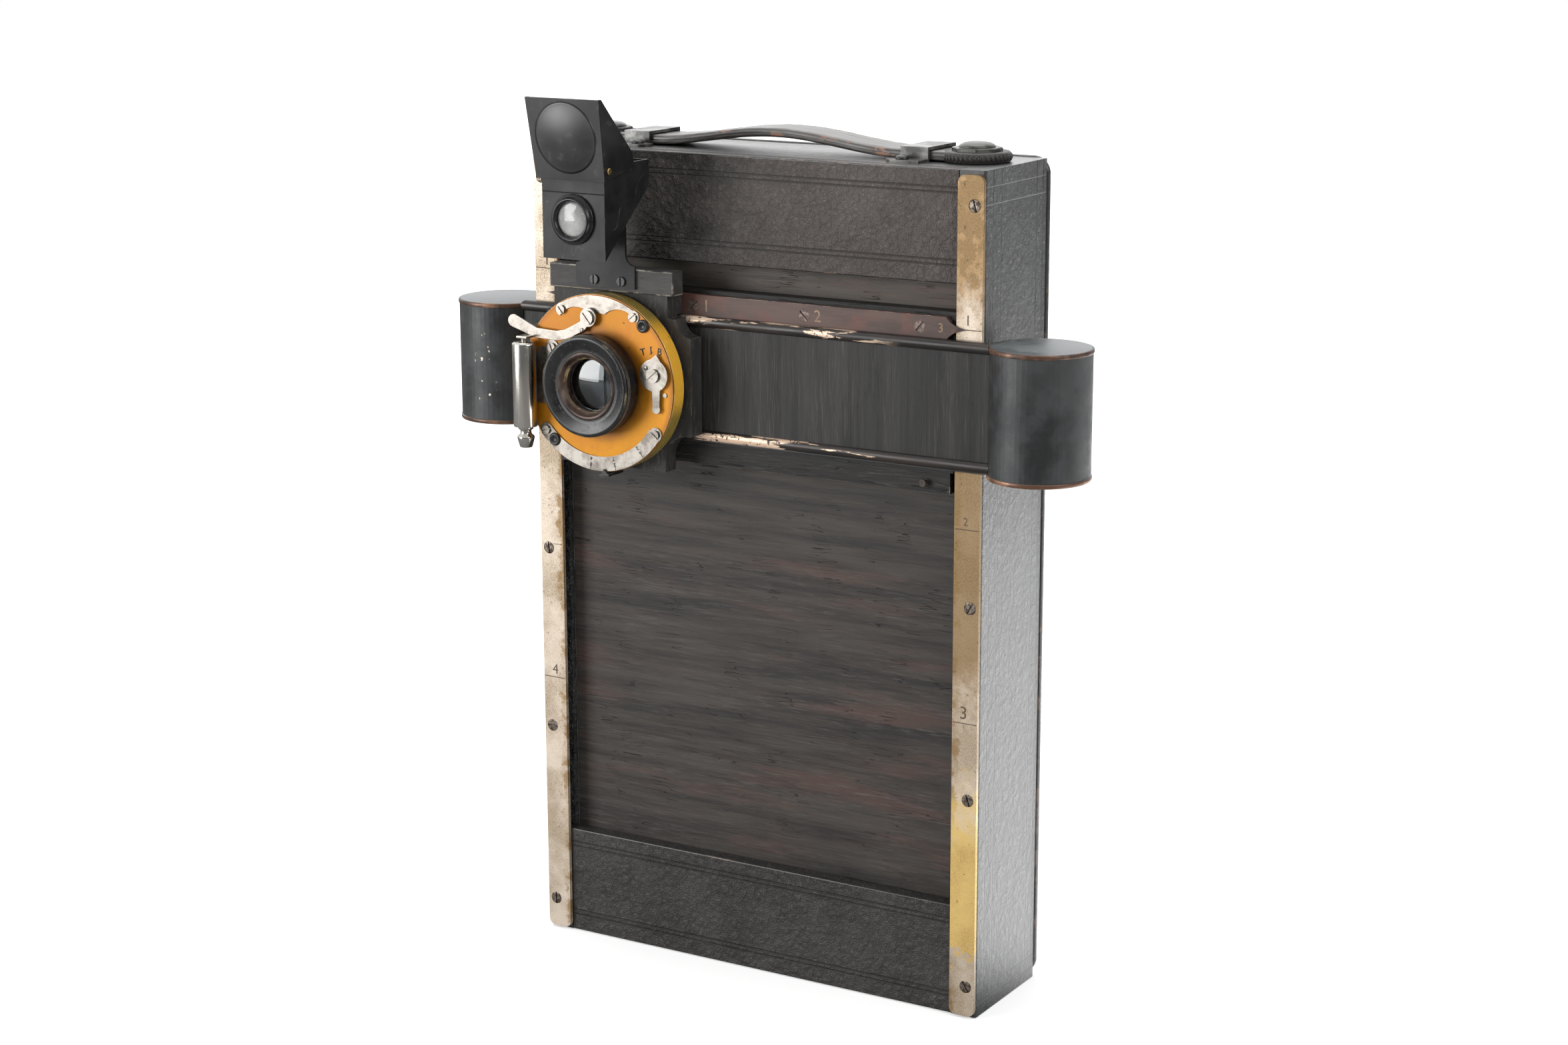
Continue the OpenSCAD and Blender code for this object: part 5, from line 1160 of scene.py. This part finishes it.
finder_ring = turned("finder_ring", [
    (5.0, 31.9), (5.5, 31.9), (5.5, 33.45), (8.7, 33.45), (8.7, 34.3), (8.5, 34.6), (7.9, 34.75), (7.6, 35.1),
    (7.5, 35.5), (7.2, 35.85), (6.9, 35.9), (6.6, 35.75), (6.2, 35.0), (6.05, 34.6), (6.05, 33.6), (5.0, 33.5)])
finder_up, top_glass_up = 274.0 - lens_z, 291.1 - lens_z
faced(finder_ring, up=finder_up).set_sharp_from_angle(angle=math.radians(50))
placed(shown("finder_lens_ring", finder_ring, ring_black), "lens", "black_metal", "finder_bezel")
# Painted reflection: the finder's glasses get a pale grey diffuse share that stands for the bright reflections
# in them.
pale_painted_glass = two_tone("Finder glass", (noise, 420.0, 4.0, 0.7), "#f2f3f0", "#cfd0cc", (0.42, 0.7, 0.02, 0.3),
                0.00003, Transmission_Weight=0.72, IOR=1.5)
finder_glass = faced(meniscus(6.02, 0.6, 1.1, 0.0), 0, -33.55, finder_up)
pane = box(at_lens(0, -19.2, top_glass_up), (24.0, 24.4, 1.2), bevel=0.06)
placed(gathered("finder_glass", [finder_glass, pane], pale_painted_glass), "lens", "glass", "finder_glasses")
silver = two_tone("Silvered glass", (rubbed_patches, 300.0, 0.62, 0.03), "#e9ecec", "#8f8a7e",
                  (0.0, 1.0, 0.04, 0.3), Metallic=1.0)
eased("mirror", "finder_mirror", "lens", "mirror", 0.0, silver)

# The hood folds down over the finder's glass on two rivets. It is one sheet with a round dome pressed into
# its front for stiffness, painted dull black, with the rivets left bright brass.
hood_paint, sockets, place = finish("Hood paint", Coat_Weight=0.35, Coat_Roughness=0.3)
cloudy = noise(place, 60.0, 5.0, 0.6)
rub = rubbed_patches(place, 240.0, 0.64, 0.04)
tone = mixed(ramp(cloudy, 0.38, 0.62), "#141415", "#1f1f20")
paint(sockets, mixed(rub * 0.25, tone, "#5a5755"), ramp(cloudy, 0.35, 0.65, 0.32, 0.44), cloudy, 0.00004)
dome_up, dome_radius = 14.68, 12.2
hood_front = (Matrix.Translation((lens_x * mm, (-34.4 + front_y) * mm, 287.73 * mm))
              @ Matrix.Rotation(math.atan2(4.5, 27.8), 4, "X"))
to_hood = hood_front.inverted()


def off_the_dome(co):
    """True for the hood's points that aren't part of the CAD's dome."""
    near = to_hood @ co
    return not (near.y < -0.00065 and math.hypot(near.x, near.z - dome_up * mm) < dome_radius * mm)


hood_dome = [(0, -0.2), (12.0, -0.2), (12.6, 0.0)]
hood_dome += [(12.4 * (1 - k / 18), 1.15 * (1 - (1 - k / 18) ** 2) ** 1.4) for k in range(1, 19)]
pressed = turned("dome", hood_dome, steps=96)
pressed.transform(hood_front @ Matrix.Translation((0, -0.6 * mm, dome_up * mm))
                  @ Matrix.Rotation(math.pi / 2, 4, "X"))
eased("hood_sheet", "finder_hood", "hood", "black_metal", 0.12, hood_paint, finder_edge, angle=25,
      keep=off_the_dome)
placed(shown("hood_dome", pressed, hood_paint), "hood", "black_metal")
bright_brass = two_tone("Bright brass", (noise, 600.0, 3.0), "#b59a5a", "#e4cf94", (0.3, 0.7, 0.25, 0.42),
                        0.00001, Metallic=1.0)
eased("rivets", "hood_rivets", "lens", "brass", 0.2, bright_brass, angle=40)
eased("bush", "tripod_bush", "case", "brass", 0.2, bright_brass, angle=40)

# Inside the case the glass plate stands in the rebate of a mahogany frame, and the rollers and spools of the
# blinds are turned from the same wood, oiled and never polished.
mahogany, sockets, place = finish("Oiled wood", Coat_Weight=0.1, Coat_Roughness=0.5)
grain = pattern(place, "Long grain", Stretch=(0.5, 1.0, 0.06), Scale=520.0, Hairline=0.008)
tone = mixed(ramp(grain["Streak"], 0.36, 0.64), "#4a2f20", "#6d4830")
paint(sockets, mixed(grain["Hair"], tone, "#21140d"), ramp(grain["Fine"], 0.3, 0.7, 0.45, 0.62),
      grain["Fine"], 0.0001)
eased("frame_wood", "plate_frame", "case", "dark_wood", 0.3, mahogany)
for name, body in [("upper_roller", "upper_roll"), ("lower_roller", "lower_roll"),
                   ("left_spool", "left_roll"), ("right_spool", "right_roll")]:
    eased(name + "_wood", name, body, "dark_wood", 0.2, mahogany, angle=40)
plate = two_tone("Plate glass", (noise, 30.0, 4.0), "#dfe5df", "#c8d0c6", (0.4, 0.7, 0.02, 0.2),
                 Transmission_Weight=0.9, IOR=1.5)
eased("plate", "glass_plate", "case", "glass", 0.15, plate)

for spare in (rail_head, domed_head, small_rivet):
    bpy.data.objects.remove(spare)
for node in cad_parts.values():
    if not node.data.materials:
        node.data.materials.append(japan)
